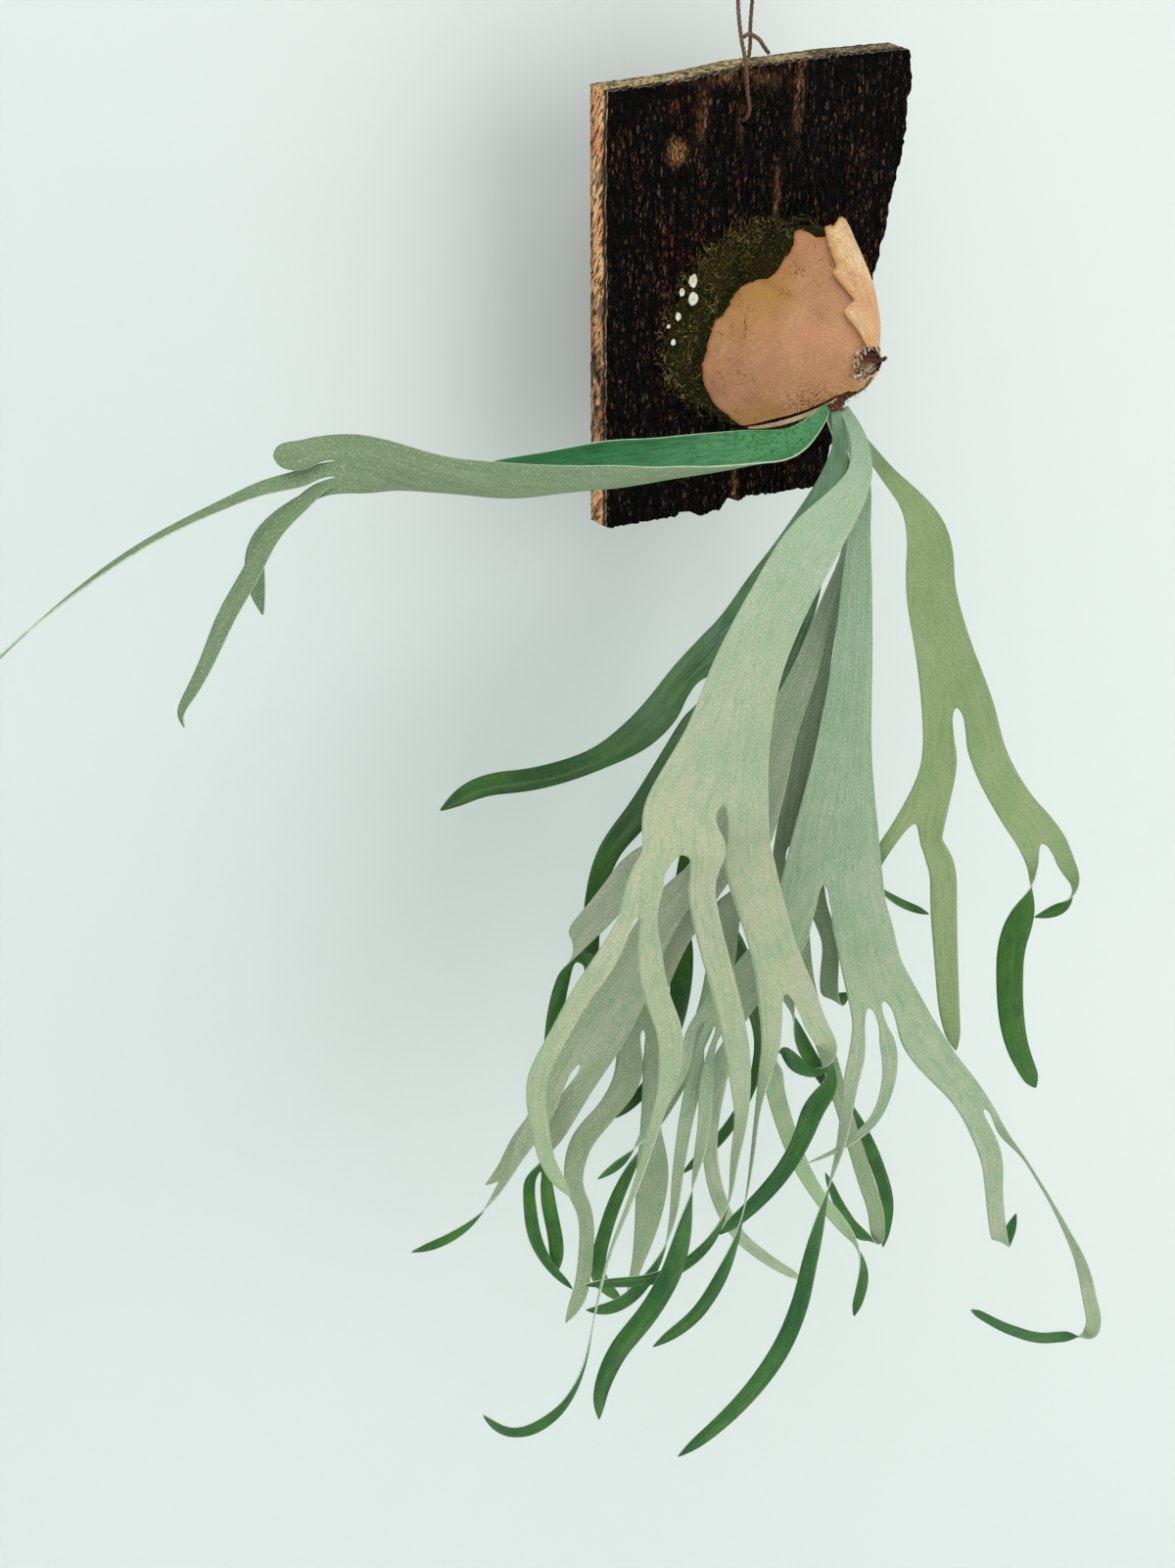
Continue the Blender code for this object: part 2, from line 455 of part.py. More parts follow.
def build_left_shield(parts, material):
    columns = []
    for angle in between(sorted(LEFT_SHIELD_EDGE)):
        edge = around(LEFT_SHIELD_EDGE, angle)
        radii = np.linspace(SHIELD_INNER_RADIUS, edge, 7)
        columns.append([dome_point(angle, radius, 0.0) for radius in radii])
    shield = add_bmesh("left_shield_frond", sheet(columns), material, parts)
    solidify(shield, SHIELD_THICKNESS, 1.0)


def build_right_shield(parts, material):
    angles = between(sorted(RIGHT_SHIELD_EDGE))
    columns = []
    for angle in angles:
        edge = around(RIGHT_SHIELD_EDGE, angle)
        flap = ((angle - angles[0]) / (angles[-1] - angles[0])) ** 6
        column = []
        for radius in np.linspace(SHIELD_INNER_RADIUS, edge, 8):
            side = np.interp(radius, list(FLAP_SIDE), list(FLAP_SIDE.values()))
            column.append(dome_point(angle + (side - angles[-1]) * flap, radius, RIGHT_SHIELD_LIFT))
        columns.append(column)
    shield = add_bmesh("right_shield_frond", sheet(columns), material, parts)
    solidify(shield, SHIELD_THICKNESS, 1.0)


def moss_height(angle, radius, rim):
    x = BUD[0] + radius * math.cos(math.radians(angle))
    z = BUD[1] + radius * math.sin(math.radians(angle))
    slope = math.hypot(dome_height(x + 0.5, z) - dome_height(x - 0.5, z),
                       dome_height(x, z + 0.5) - dome_height(x, z - 0.5))
    under_dome = dome_height(x, z) - MOSS_UNDER_SHIELD * math.hypot(1.0, slope)
    skirt = SLAB_DEPTH + GAP + 1.0 + MOSS_SKIRT * (1 - (radius / rim) ** 3)
    return Vector((x, -max(under_dome, skirt), z))


def build_moss(parts, cutters, material):
    """A mound under the shields that runs out on the slab as a low skirt."""
    bm = bmesh.new()
    floor = -(SLAB_DEPTH + GAP)
    angles = np.arange(0, 360, MOSS_STEP)
    rings = []
    for share in MOSS_RINGS:
        ring = []
        for angle in angles:
            rim = around(MOSS_OUTLINE, angle)
            ring.append(bm.verts.new(moss_height(angle, rim * share, rim)))
        rings.append(ring)
    base = [bm.verts.new((v.co.x, floor, v.co.z)) for v in rings[-1]]
    rings.append(base)
    count = len(angles)
    for inner, outer in zip(rings, rings[1:]):
        for i in range(count):
            after = (i + 1) % count
            bm.faces.new((inner[i], inner[after], outer[after], outer[i]))
    bm.faces.new(rings[0])
    bm.faces.new(base)
    bmesh.ops.recalc_face_normals(bm, faces=bm.faces)
    moss = add_bmesh("moss_mound", bm, material, parts)
    for cutter in cutters:
        cut(moss, cutter)


def build_bud(name, clearance, material, collection):
    """An egg that stands out of the shields' opening."""
    radius = BUD_RADIUS + clearance
    length = BUD_LENGTH / 2 + clearance
    bm = bmesh.new()
    bmesh.ops.create_uvsphere(bm, u_segments=16, v_segments=10, radius=1.0)
    bmesh.ops.scale(bm, vec=(radius, length, radius), verts=bm.verts)
    bmesh.ops.translate(bm, vec=(BUD[0], BUD_BASE - BUD_LENGTH / 2, BUD[1]), verts=bm.verts)
    return add_bmesh(name, bm, material, collection)


def build_rhizome(name, clearance, material, collection):
    """A tapered creeping stem from the moss to where the leaf stalks start."""
    inner, after = Vector(RHIZOME_ROUTE[0]), Vector(RHIZOME_ROUTE[1])
    start = inner + (inner - after).normalized() * clearance
    tube = add_tube(name, [start, *RHIZOME_ROUTE[1:]], RHIZOME_RADIUS + clearance, material,
                    collection, RHIZOME_STEP, RHIZOME_TAPER)
    return as_mesh(tube, material, collection)


# Fertile fronds

def strand_places(piece):
    """Where the lines between columns of faces cross a lobe, from 0 at one edge to 1."""
    if not piece.forks:
        return np.array([0.0, 1.0])
    whole = sum(fork.share for fork in piece.forks)
    places = [0.0]
    start = 0.0
    for fork in piece.forks:
        part = fork.share / whole
        places.extend(start + strand_places(fork)[1:] * part)
        start += part
    return np.array(places)


def unit(vector):
    return vector / np.linalg.norm(vector)


def follow(stations, first_heading, last_heading):
    """Rows (station, heading, distance) along a smooth curve through a lobe's stations."""
    runs = np.linalg.norm(np.diff(stations[:, :3], axis=0), axis=1)
    slopes = np.gradient(stations, np.concatenate([[0.0], np.cumsum(runs)]), axis=0)
    turning = np.diff(stations, axis=0)
    for i in range(1, len(runs)):
        peak = turning[i - 1] * turning[i] <= 0
        peak[:3] = False
        slopes[i][peak] = 0.0
    if first_heading is not None:
        slopes[0, :3] = unit(first_heading + unit(slopes[0, :3]))
    if last_heading is not None:
        slopes[-1, :3] = unit(last_heading + unit(slopes[-1, :3]))
    rows = []
    distance = 0.0
    for i, run in enumerate(runs):
        parts = max(1, round(run / ROW_STEP))
        last = i == len(runs) - 1
        for j in range(parts + last):
            t = j / parts
            place = ((2 * t ** 3 - 3 * t ** 2 + 1) * stations[i] + (3 * t ** 2 - 2 * t ** 3) * stations[i + 1]
                     + (t ** 3 - 2 * t ** 2 + t) * run * slopes[i] + (t ** 3 - t ** 2) * run * slopes[i + 1])
            heading = ((6 * t ** 2 - 6 * t) * (stations[i] - stations[i + 1]) / run
                       + (3 * t ** 2 - 4 * t + 1) * slopes[i] + (3 * t ** 2 - 2 * t) * slopes[i + 1])
            rows.append((place, unit(heading[:3]), distance + t * run))
        distance += run
    return rows


def cross_row(place, heading, width, places):
    """Points across a blade, which curves through the channel's angle and rolls by the turn."""
    across = unit(np.cross(ROOM_SIDE, heading))
    out = np.cross(heading, across)
    turn, channel = np.radians(place[4:6])
    bend = channel if abs(channel) > 0.001 else 0.001
    spread = places - 0.5
    x = np.sin(bend * spread) * width / bend
    y = (1 - np.cos(bend * spread)) * width / bend
    side = x * math.cos(turn) - y * math.sin(turn)
    rise = x * math.sin(turn) + y * math.cos(turn)
    side -= side.mean()
    rise -= rise.mean()
    return place[:3] + side[:, None] * across + rise[:, None] * out


def grow(bm, piece, shared=None, heading=None, start=None):
    """Adds a lobe and all it forks into; its first row is shared with the lobe that it leaves."""
    stations = piece.stations
    places = strand_places(piece)
    first_width = 0.0
    if shared is not None:
        points = np.array([v.co[:] for v in shared])
        first_width = np.linalg.norm(np.diff(points, axis=0), axis=1).sum()
        stations = np.vstack([[*points.mean(axis=0), first_width, *start], stations])
    onward = None
    if piece.forks:
        onward = unit(sum(unit(fork.stations[0, :3] - stations[-1, :3]) * fork.share
                          for fork in piece.forks))
    rows = follow(stations, heading, onward)
    length = rows[-1][2]
    blend = max(np.linalg.norm(stations[1, :3] - stations[0, :3]), 1.2 * first_width)
    before = shared
    for place, line, distance in rows:
        width = place[3]
        if not piece.forks:
            left = min((length - distance) / (1.1 * width), 1.0)
            width *= max(math.sqrt(1 - (1 - left) ** 2), TIP_WIDTH)
        points = cross_row(place, line, width, places)
        if shared is not None:
            if distance == 0.0:
                offset = np.array([v.co[:] for v in shared]) - points
                continue
            t = min(distance / blend, 1.0)
            points = points + offset * (1 - t * t * (3 - 2 * t))
        row = [bm.verts.new(p) for p in points]
        if before is not None:
            for a, b, c, d in zip(before, before[1:], row[1:], row):
                bm.faces.new((a, b, c, d))
        before = row
    index = 0
    for fork in piece.forks:
        count = len(strand_places(fork))
        grow(bm, fork, before[index:index + count], rows[-1][1],
             (stations[-1, 4], stations[-1, 5] * fork.share))
        index += count - 1


def build_frond(name, piece, parts, material):
    bm = bmesh.new()
    grow(bm, piece)
    frond = add_bmesh(name, bm, material, parts)
    solidify(frond, BLADE_THICKNESS, 0.0)
    frond.modifiers["Thickness"].use_even_offset = False


# Fungi

def build_mushroom(name, x, z, cap_radius, stem, parts, material):
    """A cap on a short stem, turned about an axis that points out of the moss."""
    rim = around(MOSS_OUTLINE, math.degrees(math.atan2(z - BUD[1], x - BUD[0])))
    radius = math.hypot(x - BUD[0], z - BUD[1])
    seat = moss_height(math.degrees(math.atan2(z - BUD[1], x - BUD[0])), radius, rim)
    profile = [(0.0, stem + 0.5 * cap_radius), (0.55 * cap_radius, stem + 0.42 * cap_radius),
               (0.9 * cap_radius, stem + 0.15 * cap_radius), (cap_radius, stem - 0.1 * cap_radius),
               (0.35 * cap_radius, stem - 0.05 * cap_radius), (0.3 * cap_radius, 0.0), (0.0, 0.0)]
    bm = bmesh.new()
    verts = [bm.verts.new((r, 0.0, h)) for r, h in profile]
    edges = [bm.edges.new(pair) for pair in zip(verts, verts[1:])]
    bmesh.ops.spin(bm, geom=verts + edges, cent=(0, 0, 0), axis=(0, 0, 1), angle=math.tau, steps=10,
                   use_merge=False, use_duplicate=False)
    bmesh.ops.remove_doubles(bm, verts=bm.verts, dist=0.01)
    bmesh.ops.recalc_face_normals(bm, faces=bm.faces)
    mushroom = add_bmesh(name, bm, material, parts)
    mushroom.location = (seat + Vector((0, -GAP, 0))) * MM
    mushroom.rotation_euler = (math.pi / 2, 0, 0)


def main():
    clear_scene()
    parts = new_collection("mounted_staghorn_fern")
    cutters = new_collection("cutters")
    bark = new_material("bark", (0.016, 0.010, 0.007), 0.85)
    twine = new_material("twine", (0.20, 0.13, 0.08), 0.9)
    moss = new_material("moss", (0.07, 0.07, 0.02), 0.95)
    scales = new_material("rhizome_scales", (0.18, 0.08, 0.03), 0.8)
    paper = new_material("dry_shield", (0.55, 0.31, 0.19), 0.6)
    leaf = new_material("fertile_leaf", (0.30, 0.42, 0.25), 0.5)
    fungus = new_material("fungus", (0.80, 0.77, 0.68), 0.5)

    build_slab(parts, cutters, bark)
    add_tube("hanging_twine", TWINE_ROUTE, TWINE_RADIUS, twine, parts)
    add_tube("twine_hitch", HITCH_ROUTE, TWINE_RADIUS, twine, parts)
    build_rhizome("rhizome", 0.0, scales, parts)
    build_bud("growth_bud", 0.0, scales, parts)
    hollows = [build_rhizome("rhizome_cutter", 2 * GAP, scales, cutters),
               build_bud("bud_cutter", 2 * GAP, scales, cutters)]
    for hollow in hollows:
        make_cutter(hollow)
    build_moss(parts, hollows, moss)
    build_left_shield(parts, paper)
    build_right_shield(parts, paper)
    for name, piece in FRONDS.items():
        build_frond(name, piece, parts, leaf)
    for i, (x, z, radius, stem) in enumerate(MUSHROOMS, start=1):
        build_mushroom(f"mushroom_{i}", x, z, radius, stem, parts, fungus)


main()
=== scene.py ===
"""Looks of a staghorn fern mounted on a slab of bark and hung from a loop of jute twine.

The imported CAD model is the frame: metres, +Z up, the slab's flat back on the plane y = 0 and -Y into
the room.  Tables of sizes are millimetres and are turned to metres as each mesh is made.
"""
from __future__ import annotations

import logging
import math
from dataclasses import dataclass, field
from enum import Enum
from typing import NamedTuple

import bpy
import numpy as np
from mathutils import Matrix, Vector, noise


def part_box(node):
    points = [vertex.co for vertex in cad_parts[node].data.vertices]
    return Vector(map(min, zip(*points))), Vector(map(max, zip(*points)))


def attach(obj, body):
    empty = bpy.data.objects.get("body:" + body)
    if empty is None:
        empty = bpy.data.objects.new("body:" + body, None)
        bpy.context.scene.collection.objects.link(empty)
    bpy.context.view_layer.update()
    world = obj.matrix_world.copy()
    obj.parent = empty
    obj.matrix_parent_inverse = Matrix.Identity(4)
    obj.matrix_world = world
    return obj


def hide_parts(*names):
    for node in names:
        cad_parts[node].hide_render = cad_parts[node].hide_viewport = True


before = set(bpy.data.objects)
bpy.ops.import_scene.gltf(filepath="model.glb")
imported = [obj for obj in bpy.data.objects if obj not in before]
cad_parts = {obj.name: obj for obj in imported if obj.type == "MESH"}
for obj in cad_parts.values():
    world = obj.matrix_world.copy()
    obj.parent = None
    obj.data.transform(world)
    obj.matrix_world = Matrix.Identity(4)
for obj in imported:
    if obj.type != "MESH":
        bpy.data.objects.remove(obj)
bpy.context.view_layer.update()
log = logging.getLogger("mounted_staghorn_fern")

MM = 0.001
BODY = "root"
TURN = math.tau
ENDLESS_MM = 900.0      # a pattern's size along a direction in which it hardly changes
Point = tuple[float, float, float]
Faces = list[tuple[int, ...]]
Stops = tuple[tuple[float, str], ...]


class Slot(Enum):
    """The record's material slots."""

    BARK = "bark"
    TWINE = "jute_twine"
    MOSS = "moss"
    SCALES = "rhizome_scales"
    SHIELD = "dry_shield_frond"
    FROND = "fertile_frond"
    FUNGUS = "fungus"


class Side(Enum):
    """The two faces of a blade."""

    UNDER = "underside"
    UPPER = "upper_face"


# Numbers and lines

def linear(colour: str) -> tuple[float, float, float, float]:
    """Turns an sRGB hex colour to linear RGBA.

    Args:
        colour: six hex digits after a hash sign.

    Returns:
        The colour's linear red, green and blue, and an alpha of 1.
    """
    parts = [int(colour[i:i + 2], 16) / 255 for i in (1, 3, 5)]
    red, green, blue = (p / 12.92 if p <= 0.04045 else ((p + 0.055) / 1.055) ** 2.4 for p in parts)
    return red, green, blue, 1.0


def ripple(x: float, y: float, z: float = 0.0) -> float:
    """Smooth noise between -1 and 1 at a point, with features about one unit wide."""
    return noise.noise(Vector((x, y, z)))


def unit(vector: np.ndarray) -> np.ndarray:
    """The vector at length 1."""
    return vector / np.linalg.norm(vector)


def smooth(share: float | np.ndarray) -> float | np.ndarray:
    """Eases a share from 0 to 1."""
    t = np.clip(share, 0.0, 1.0)
    return t * t * (3 - 2 * t)


def hill(*places: tuple[float, float, float]) -> float:
    """A rounded hill, 1 high, from a value, its middle and its width along each direction."""
    return math.exp(-sum(((value - middle) / width) ** 2 for value, middle, width in places))


def look_up(table: dict[float, float], key: float, period: float | None = None) -> float:
    """Reads a value between the rows of a table, which may repeat after a period."""
    return float(np.interp(key, list(table), list(table.values()), period=period))


def curve_through(route: tuple[Point, ...], step: float) -> np.ndarray:
    """Points about a step apart along a smooth curve through a route.

    Args:
        route: the points that it passes through.
        step: about how far apart the new points are.

    Returns:
        The points.
    """
    points = [np.array(p, float) for p in route]
    ends = [2 * points[0] - points[1], *points, 2 * points[-1] - points[-2]]
    fine = []
    for before, here, there, after in zip(ends, ends[1:], ends[2:], ends[3:]):
        parts = max(1, round(np.linalg.norm(there - here) / step))
        for t in np.arange(parts) / parts:
            fine.append(0.5 * (2 * here + (there - before) * t
                               + (2 * before - 5 * here + 4 * there - after) * t ** 2
                               + (3 * here - before - 3 * there + after) * t ** 3))
    return np.array([*fine, points[-1]])


def side_frames(line: np.ndarray) -> tuple[np.ndarray, np.ndarray]:
    """Two unit vectors across a line at each of its points, with no twist along it.

    Args:
        line: the points of the line.

    Returns:
        The first and the second vector at each point.
    """
    heads = np.gradient(line, axis=0)
    heads /= np.linalg.norm(heads, axis=1)[:, None]
    sides = [unit(np.cross(heads[0], (0.31, 0.22, 0.92)))]
    for head in heads[1:]:
        sides.append(unit(sides[-1] - head * np.dot(sides[-1], head)))
    return np.array(sides), np.cross(heads, np.array(sides))


# Meshes

def grid_faces(rows: int, columns: int, closed: bool = False, start: int = 0) -> Faces:
    """Quads through a grid of vertices.

    Args:
        rows: how many rows of vertices there are.
        columns: how many vertices a row has.
        closed: whether the last column joins the first.
        start: the index of the first vertex.

    Returns:
        The faces, as vertex indices.
    """
    faces = []
    for row in range(rows - 1):
        for column in range(columns if closed else columns - 1):
            a = start + row * columns + column
            b = start + row * columns + (column + 1) % columns
            faces.append((a, b, b + columns, a + columns))
    return faces


def closed_tube(rows: int, columns: int, start: int = 0) -> Faces:
    """The faces of a tube of rings with a flat cap at each end, its first vertex at start."""
    last = start + rows * columns
    return [*grid_faces(rows, columns, True, start), tuple(range(start, start + columns))[::-1],
            tuple(range(last - columns, last))]


def thin_tube(path: np.ndarray, radii: tuple[float, ...], start: int) -> tuple[list, Faces]:
    """A three-sided tube along a short path.

    Args:
        path: its centre line.
        radii: its radius at each point.
        start: the index that its first vertex gets.

    Returns:
        Its points and faces.
    """
    across, out = side_frames(path)
    points = [centre + radius * (math.cos(turn) * side + math.sin(turn) * up)
              for centre, side, up, radius in zip(path, across, out, radii)
              for turn in (0.0, TURN / 3, 2 * TURN / 3)]
    return points, closed_tube(len(path), 3, start)


def make_object(name: str, points: list | np.ndarray, faces: Faces, materials: list[bpy.types.Material],
                values: dict[str, list | np.ndarray] | None = None,
                face_materials: list[int] | None = None) -> bpy.types.Object:
    """Makes a smooth-shaded object from points in millimetres.

    Args:
        name: the object's name.
        points: its vertices, in millimetres.
        faces: its faces, as vertex indices.
        materials: its material slots.
        values: numbers or vectors for each vertex, by attribute name.
        face_materials: each face's material slot, if it has several.

    Returns:
        The new object.
    """
    mesh = bpy.data.meshes.new(name)
    mesh.from_pydata((np.asarray(points, float) * MM).tolist(), [], faces)
    mesh.polygons.foreach_set("use_smooth", [True] * len(mesh.polygons))
    if face_materials is not None:
        mesh.polygons.foreach_set("material_index", face_materials)
    for key, value in (values or {}).items():
        value = np.asarray(value, np.float32)
        kind, field_name = ("FLOAT", "value") if value.ndim == 1 else ("FLOAT_VECTOR", "vector")
        mesh.attributes.new(key, kind, "POINT").data.foreach_set(field_name, value.ravel())
    for material in materials:
        mesh.materials.append(material)
    mesh.update()
    made = bpy.data.objects.new(name, mesh)
    bpy.context.scene.collection.objects.link(made)
    return made


def modify(piece: bpy.types.Object, name: str, kind: str, **settings: object) -> None:
    """Adds a modifier with its settings to a piece."""
    made = piece.modifiers.new(name, kind)
    for key, value in settings.items():
        setattr(made, key, value)


def place(piece: bpy.types.Object, slot: Slot, *nodes: str) -> bpy.types.Object:
    """Rides a piece on the frame, in place of CAD nodes, and reports it.

    Args:
        piece: the piece.
        slot: its material slot; not used.
        nodes: the CAD nodes that it stands for.

    Returns:
        The piece.
    """
    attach(piece, BODY)
    if nodes:
        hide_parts(*nodes)
    log.info("%s: %d vertices, stands for %s", piece.name, len(piece.data.vertices),
             ", ".join(nodes) or "no CAD node")
    return piece


# Finishes

class Stretch(NamedTuple):
    """A pattern stretched from the range low to high onto least to most, and kept in it."""

    pattern: bpy.types.NodeSocket
    low: float
    high: float
    least: float = 0.0
    most: float = 1.0


class Surface:
    """A material in the making, and the shade laid on it so far."""

    def __init__(self, name: str, sockets: dict[str, float | tuple], shade: str = "#FFFFFF") -> None:
        """Starts a material.

        Args:
            name: its name.
            sockets: values for the shader's own sockets.
            shade: the colour that others are laid over.
        """
        self.material = bpy.data.materials.new(name)
        self.material.use_nodes = True
        self.tree = self.material.node_tree
        self.shader = self.tree.nodes["Principled BSDF"]
        for key, value in sockets.items():
            self.shader.inputs[key].default_value = value
        self.shade = shade
        self.here = self.node("TexCoord", output="Object")      # the place on the object, in metres

    def node(self, kind: str, inputs: dict | None = None, output: int | str = 0, stops: Stops = (),
             **settings: object) -> bpy.types.NodeSocket:
        """Adds a shader node with its settings and links.

        Args:
            kind: the node's type, without the ShaderNode that they all start with.
            inputs: a value, hex colour, output or stretched output for each input, by name or number.
            output: which of its outputs is wanted.
            stops: places and hex colours along its colour ramp, if it has one.
            settings: the node's own properties.

        Returns:
            The wanted output.
        """
        made = self.tree.nodes.new("ShaderNode" + kind)
        for key, value in settings.items():
            setattr(made, key, value)
        for key, value in (inputs or {}).items():
            if isinstance(value, Stretch):
                value = self.node("MapRange", dict(enumerate(value)))
            if isinstance(value, bpy.types.NodeSocket):
                self.tree.links.new(value, made.inputs[key])
            else:
                made.inputs[key].default_value = linear(value) if isinstance(value, str) else value
        for number, (place_at, colour) in enumerate(stops):
            elements = made.color_ramp.elements
            element = elements[number] if number < 2 else elements.new(place_at)
            element.position, element.color = place_at, linear(colour)
        return made.outputs[output]

    def grain(self, size_mm: float | Point, detail: float = 3.0, seed: float = 0.0,
              along: bpy.types.NodeSocket | None = None) -> bpy.types.NodeSocket:
        """A natural pattern, from 0 to 1, whose features are as large as stated.

        Args:
            size_mm: the features' size, or their size along each coordinate.
            detail: how many finer layers it has.
            seed: shifts the pattern.
            along: the coordinates, in metres, if they aren't the place on the object.

        Returns:
            The pattern.
        """
        sizes = size_mm if isinstance(size_mm, tuple) else (size_mm,) * 3
        spot = self.node("Mapping", {"Vector": self.here if along is None else along,
                                     "Scale": tuple(1.0 / (size * MM) for size in sizes),
                                     "Location": (seed, seed, 0)})
        return self.node("TexNoise", {"Vector": spot, "Scale": 1.0, "Detail": detail})

    def lay(self, colour: str | bpy.types.NodeSocket, share: Stretch | bpy.types.NodeSocket) -> None:
        """Lays a colour over the shade so far: at a share of 1 it hides it."""
        self.shade = self.node("Mix", {0: share, 6: self.shade, 7: colour}, 2, data_type="RGBA")

    def finish(self, height: Stretch | bpy.types.NodeSocket | None = None, depth_mm: float = 0.0,
               strength: float = 1.0) -> bpy.types.Material:
        """Gives the shader its shade and its bumps.

        Args:
            height: how far the surface stands out, from 0 to 1, if it has bumps.
            depth_mm: how far a height of 1 is.
            strength: how strongly the bumps turn the light.

        Returns:
            The finished material.
        """
        self.tree.links.new(self.shade, self.shader.inputs["Base Color"])
        if height is not None:
            bumps = self.node("Bump", {"Height": height, "Distance": depth_mm * MM, "Strength": strength})
            self.tree.links.new(bumps, self.shader.inputs["Normal"])
        return self.material


# Bark slab

@dataclass(frozen=True)
class WeatheredBark:
    """Rough outer bark, weathered: corky plates and ridges that run up the trunk.

    It is near black in the cracks and brown on the crests, partly the bark's own tone and partly painted
    shade that follows the relief, and rust red where a flake came off.
    """

    def make(self) -> bpy.types.Material:
        """Builds the material.

        Returns:
            The material.
        """
        bark = Surface("weathered_bark", {"Roughness": 0.92, "Specular IOR Level": 0.12})
        relief = bark.node("Attribute", output="Fac", attribute_name="relief")
        rust = bark.node("Attribute", output="Fac", attribute_name="rust")
        fine = bark.grain((0.8, 2.0, 2.6), 4.0)
        patches = bark.grain((22.0, 22.0, 60.0), 3.0, 4.0)
        # Corky plates 3 mm wide and 8 mm long, whose edges wander by a noise 4.5 mm wide
        wander = bark.node("TexNoise", {"Vector": bark.here, "Scale": 220.0}, "Color")
        bent = bark.node("Mix", {0: 0.0045, 4: bark.here, 5: wander}, 1, data_type="VECTOR")
        plates = bark.node("Mapping", {"Vector": bent, "Scale": (330.0, 330.0, 125.0)})
        cracks = bark.node("TexVoronoi", {"Vector": plates, "Scale": 1.0}, "Distance",
                           feature="DISTANCE_TO_EDGE")
        # The colour follows the relief and the plates' edges: dark low down and in the cracks, partly
        # painted shade
        relief_and_shade = bark.node("Math", {0: relief, 1: Stretch(fine, 0.2, 0.8, -0.34, 0.34)}, operation="ADD")
        relief_and_shade = bark.node("Math", {0: relief_and_shade, 1: Stretch(cracks, 0.0, 0.22, -0.36, 0.17)}, operation="ADD")
        bark.shade = bark.node("ValToRGB", {0: relief_and_shade}, stops=(
            (0.34, "#030202"), (0.58, "#090605"), (0.78, "#19110D"), (0.91, "#31231B"), (1.0, "#5E4737")))
        bark.lay(bark.node("ValToRGB", {0: relief_and_shade}, stops=(
            (0.34, "#040202"), (0.6, "#1A0B06"), (0.84, "#451E10"), (1.0, "#7A4626"))),
            Stretch(patches, 0.52, 0.64, 0.0, 0.8))
        bark.lay(bark.node("ValToRGB", {0: fine}, stops=(
            (0.3, "#2B140C"), (0.45, "#8A4F2E"), (0.58, "#C2905F"), (0.8, "#E2C49A"))), rust)
        height = bark.node("Math", {0: fine, 1: Stretch(cracks, 0.0, 0.2, 0.0, 1.2)}, operation="ADD")
        return bark.finish(height, 1.0, 1.2)


@dataclass(frozen=True)
class SawnWood:
    """Inner bark and sapwood, sawn across: tan to orange, hatched by dark slanting pores."""

    name: str
    pale: str
    deep: str
    pore: str
    slant: float = 0.0          # how far the pores lean, in radians
    pores: float = 0.9          # how dark they are

    def make(self) -> bpy.types.Material:
        """Builds the material.

        Returns:
            The material.
        """
        wood = Surface(self.name, {"Roughness": 0.85, "Specular IOR Level": 0.2}, self.pale)
        turned = wood.node("Mapping", {"Vector": wood.here, "Rotation": (self.slant, 0.0, 0.0)})
        long_pores = wood.grain((1.6, 7.0, 2.1), 3.0, along=turned)
        hatches = wood.grain((5.0, 22.0, 4.6), 2.0, 9.0, turned)
        fine = wood.grain(0.9, 4.0)
        wood.lay(self.deep, Stretch(wood.grain((14.0, 14.0, 26.0), 3.0, 2.0), 0.38, 0.62))
        wood.lay("#F2D3AE", Stretch(fine, 0.35, 0.5, 0.4, 0.0))
        wood.lay(self.pore, Stretch(fine, 0.52, 0.66, 0.0, 0.5))
        wood.lay(self.pore, Stretch(hatches, 0.54, 0.6, 0.0, self.pores * 0.8))
        wood.lay(self.pore, Stretch(long_pores, 0.53, 0.58, 0.0, self.pores))
        wood.lay("#120B08", wood.node("Attribute", output="Fac", attribute_name="stain"))
        return wood.finish(long_pores, 0.8, 0.8)


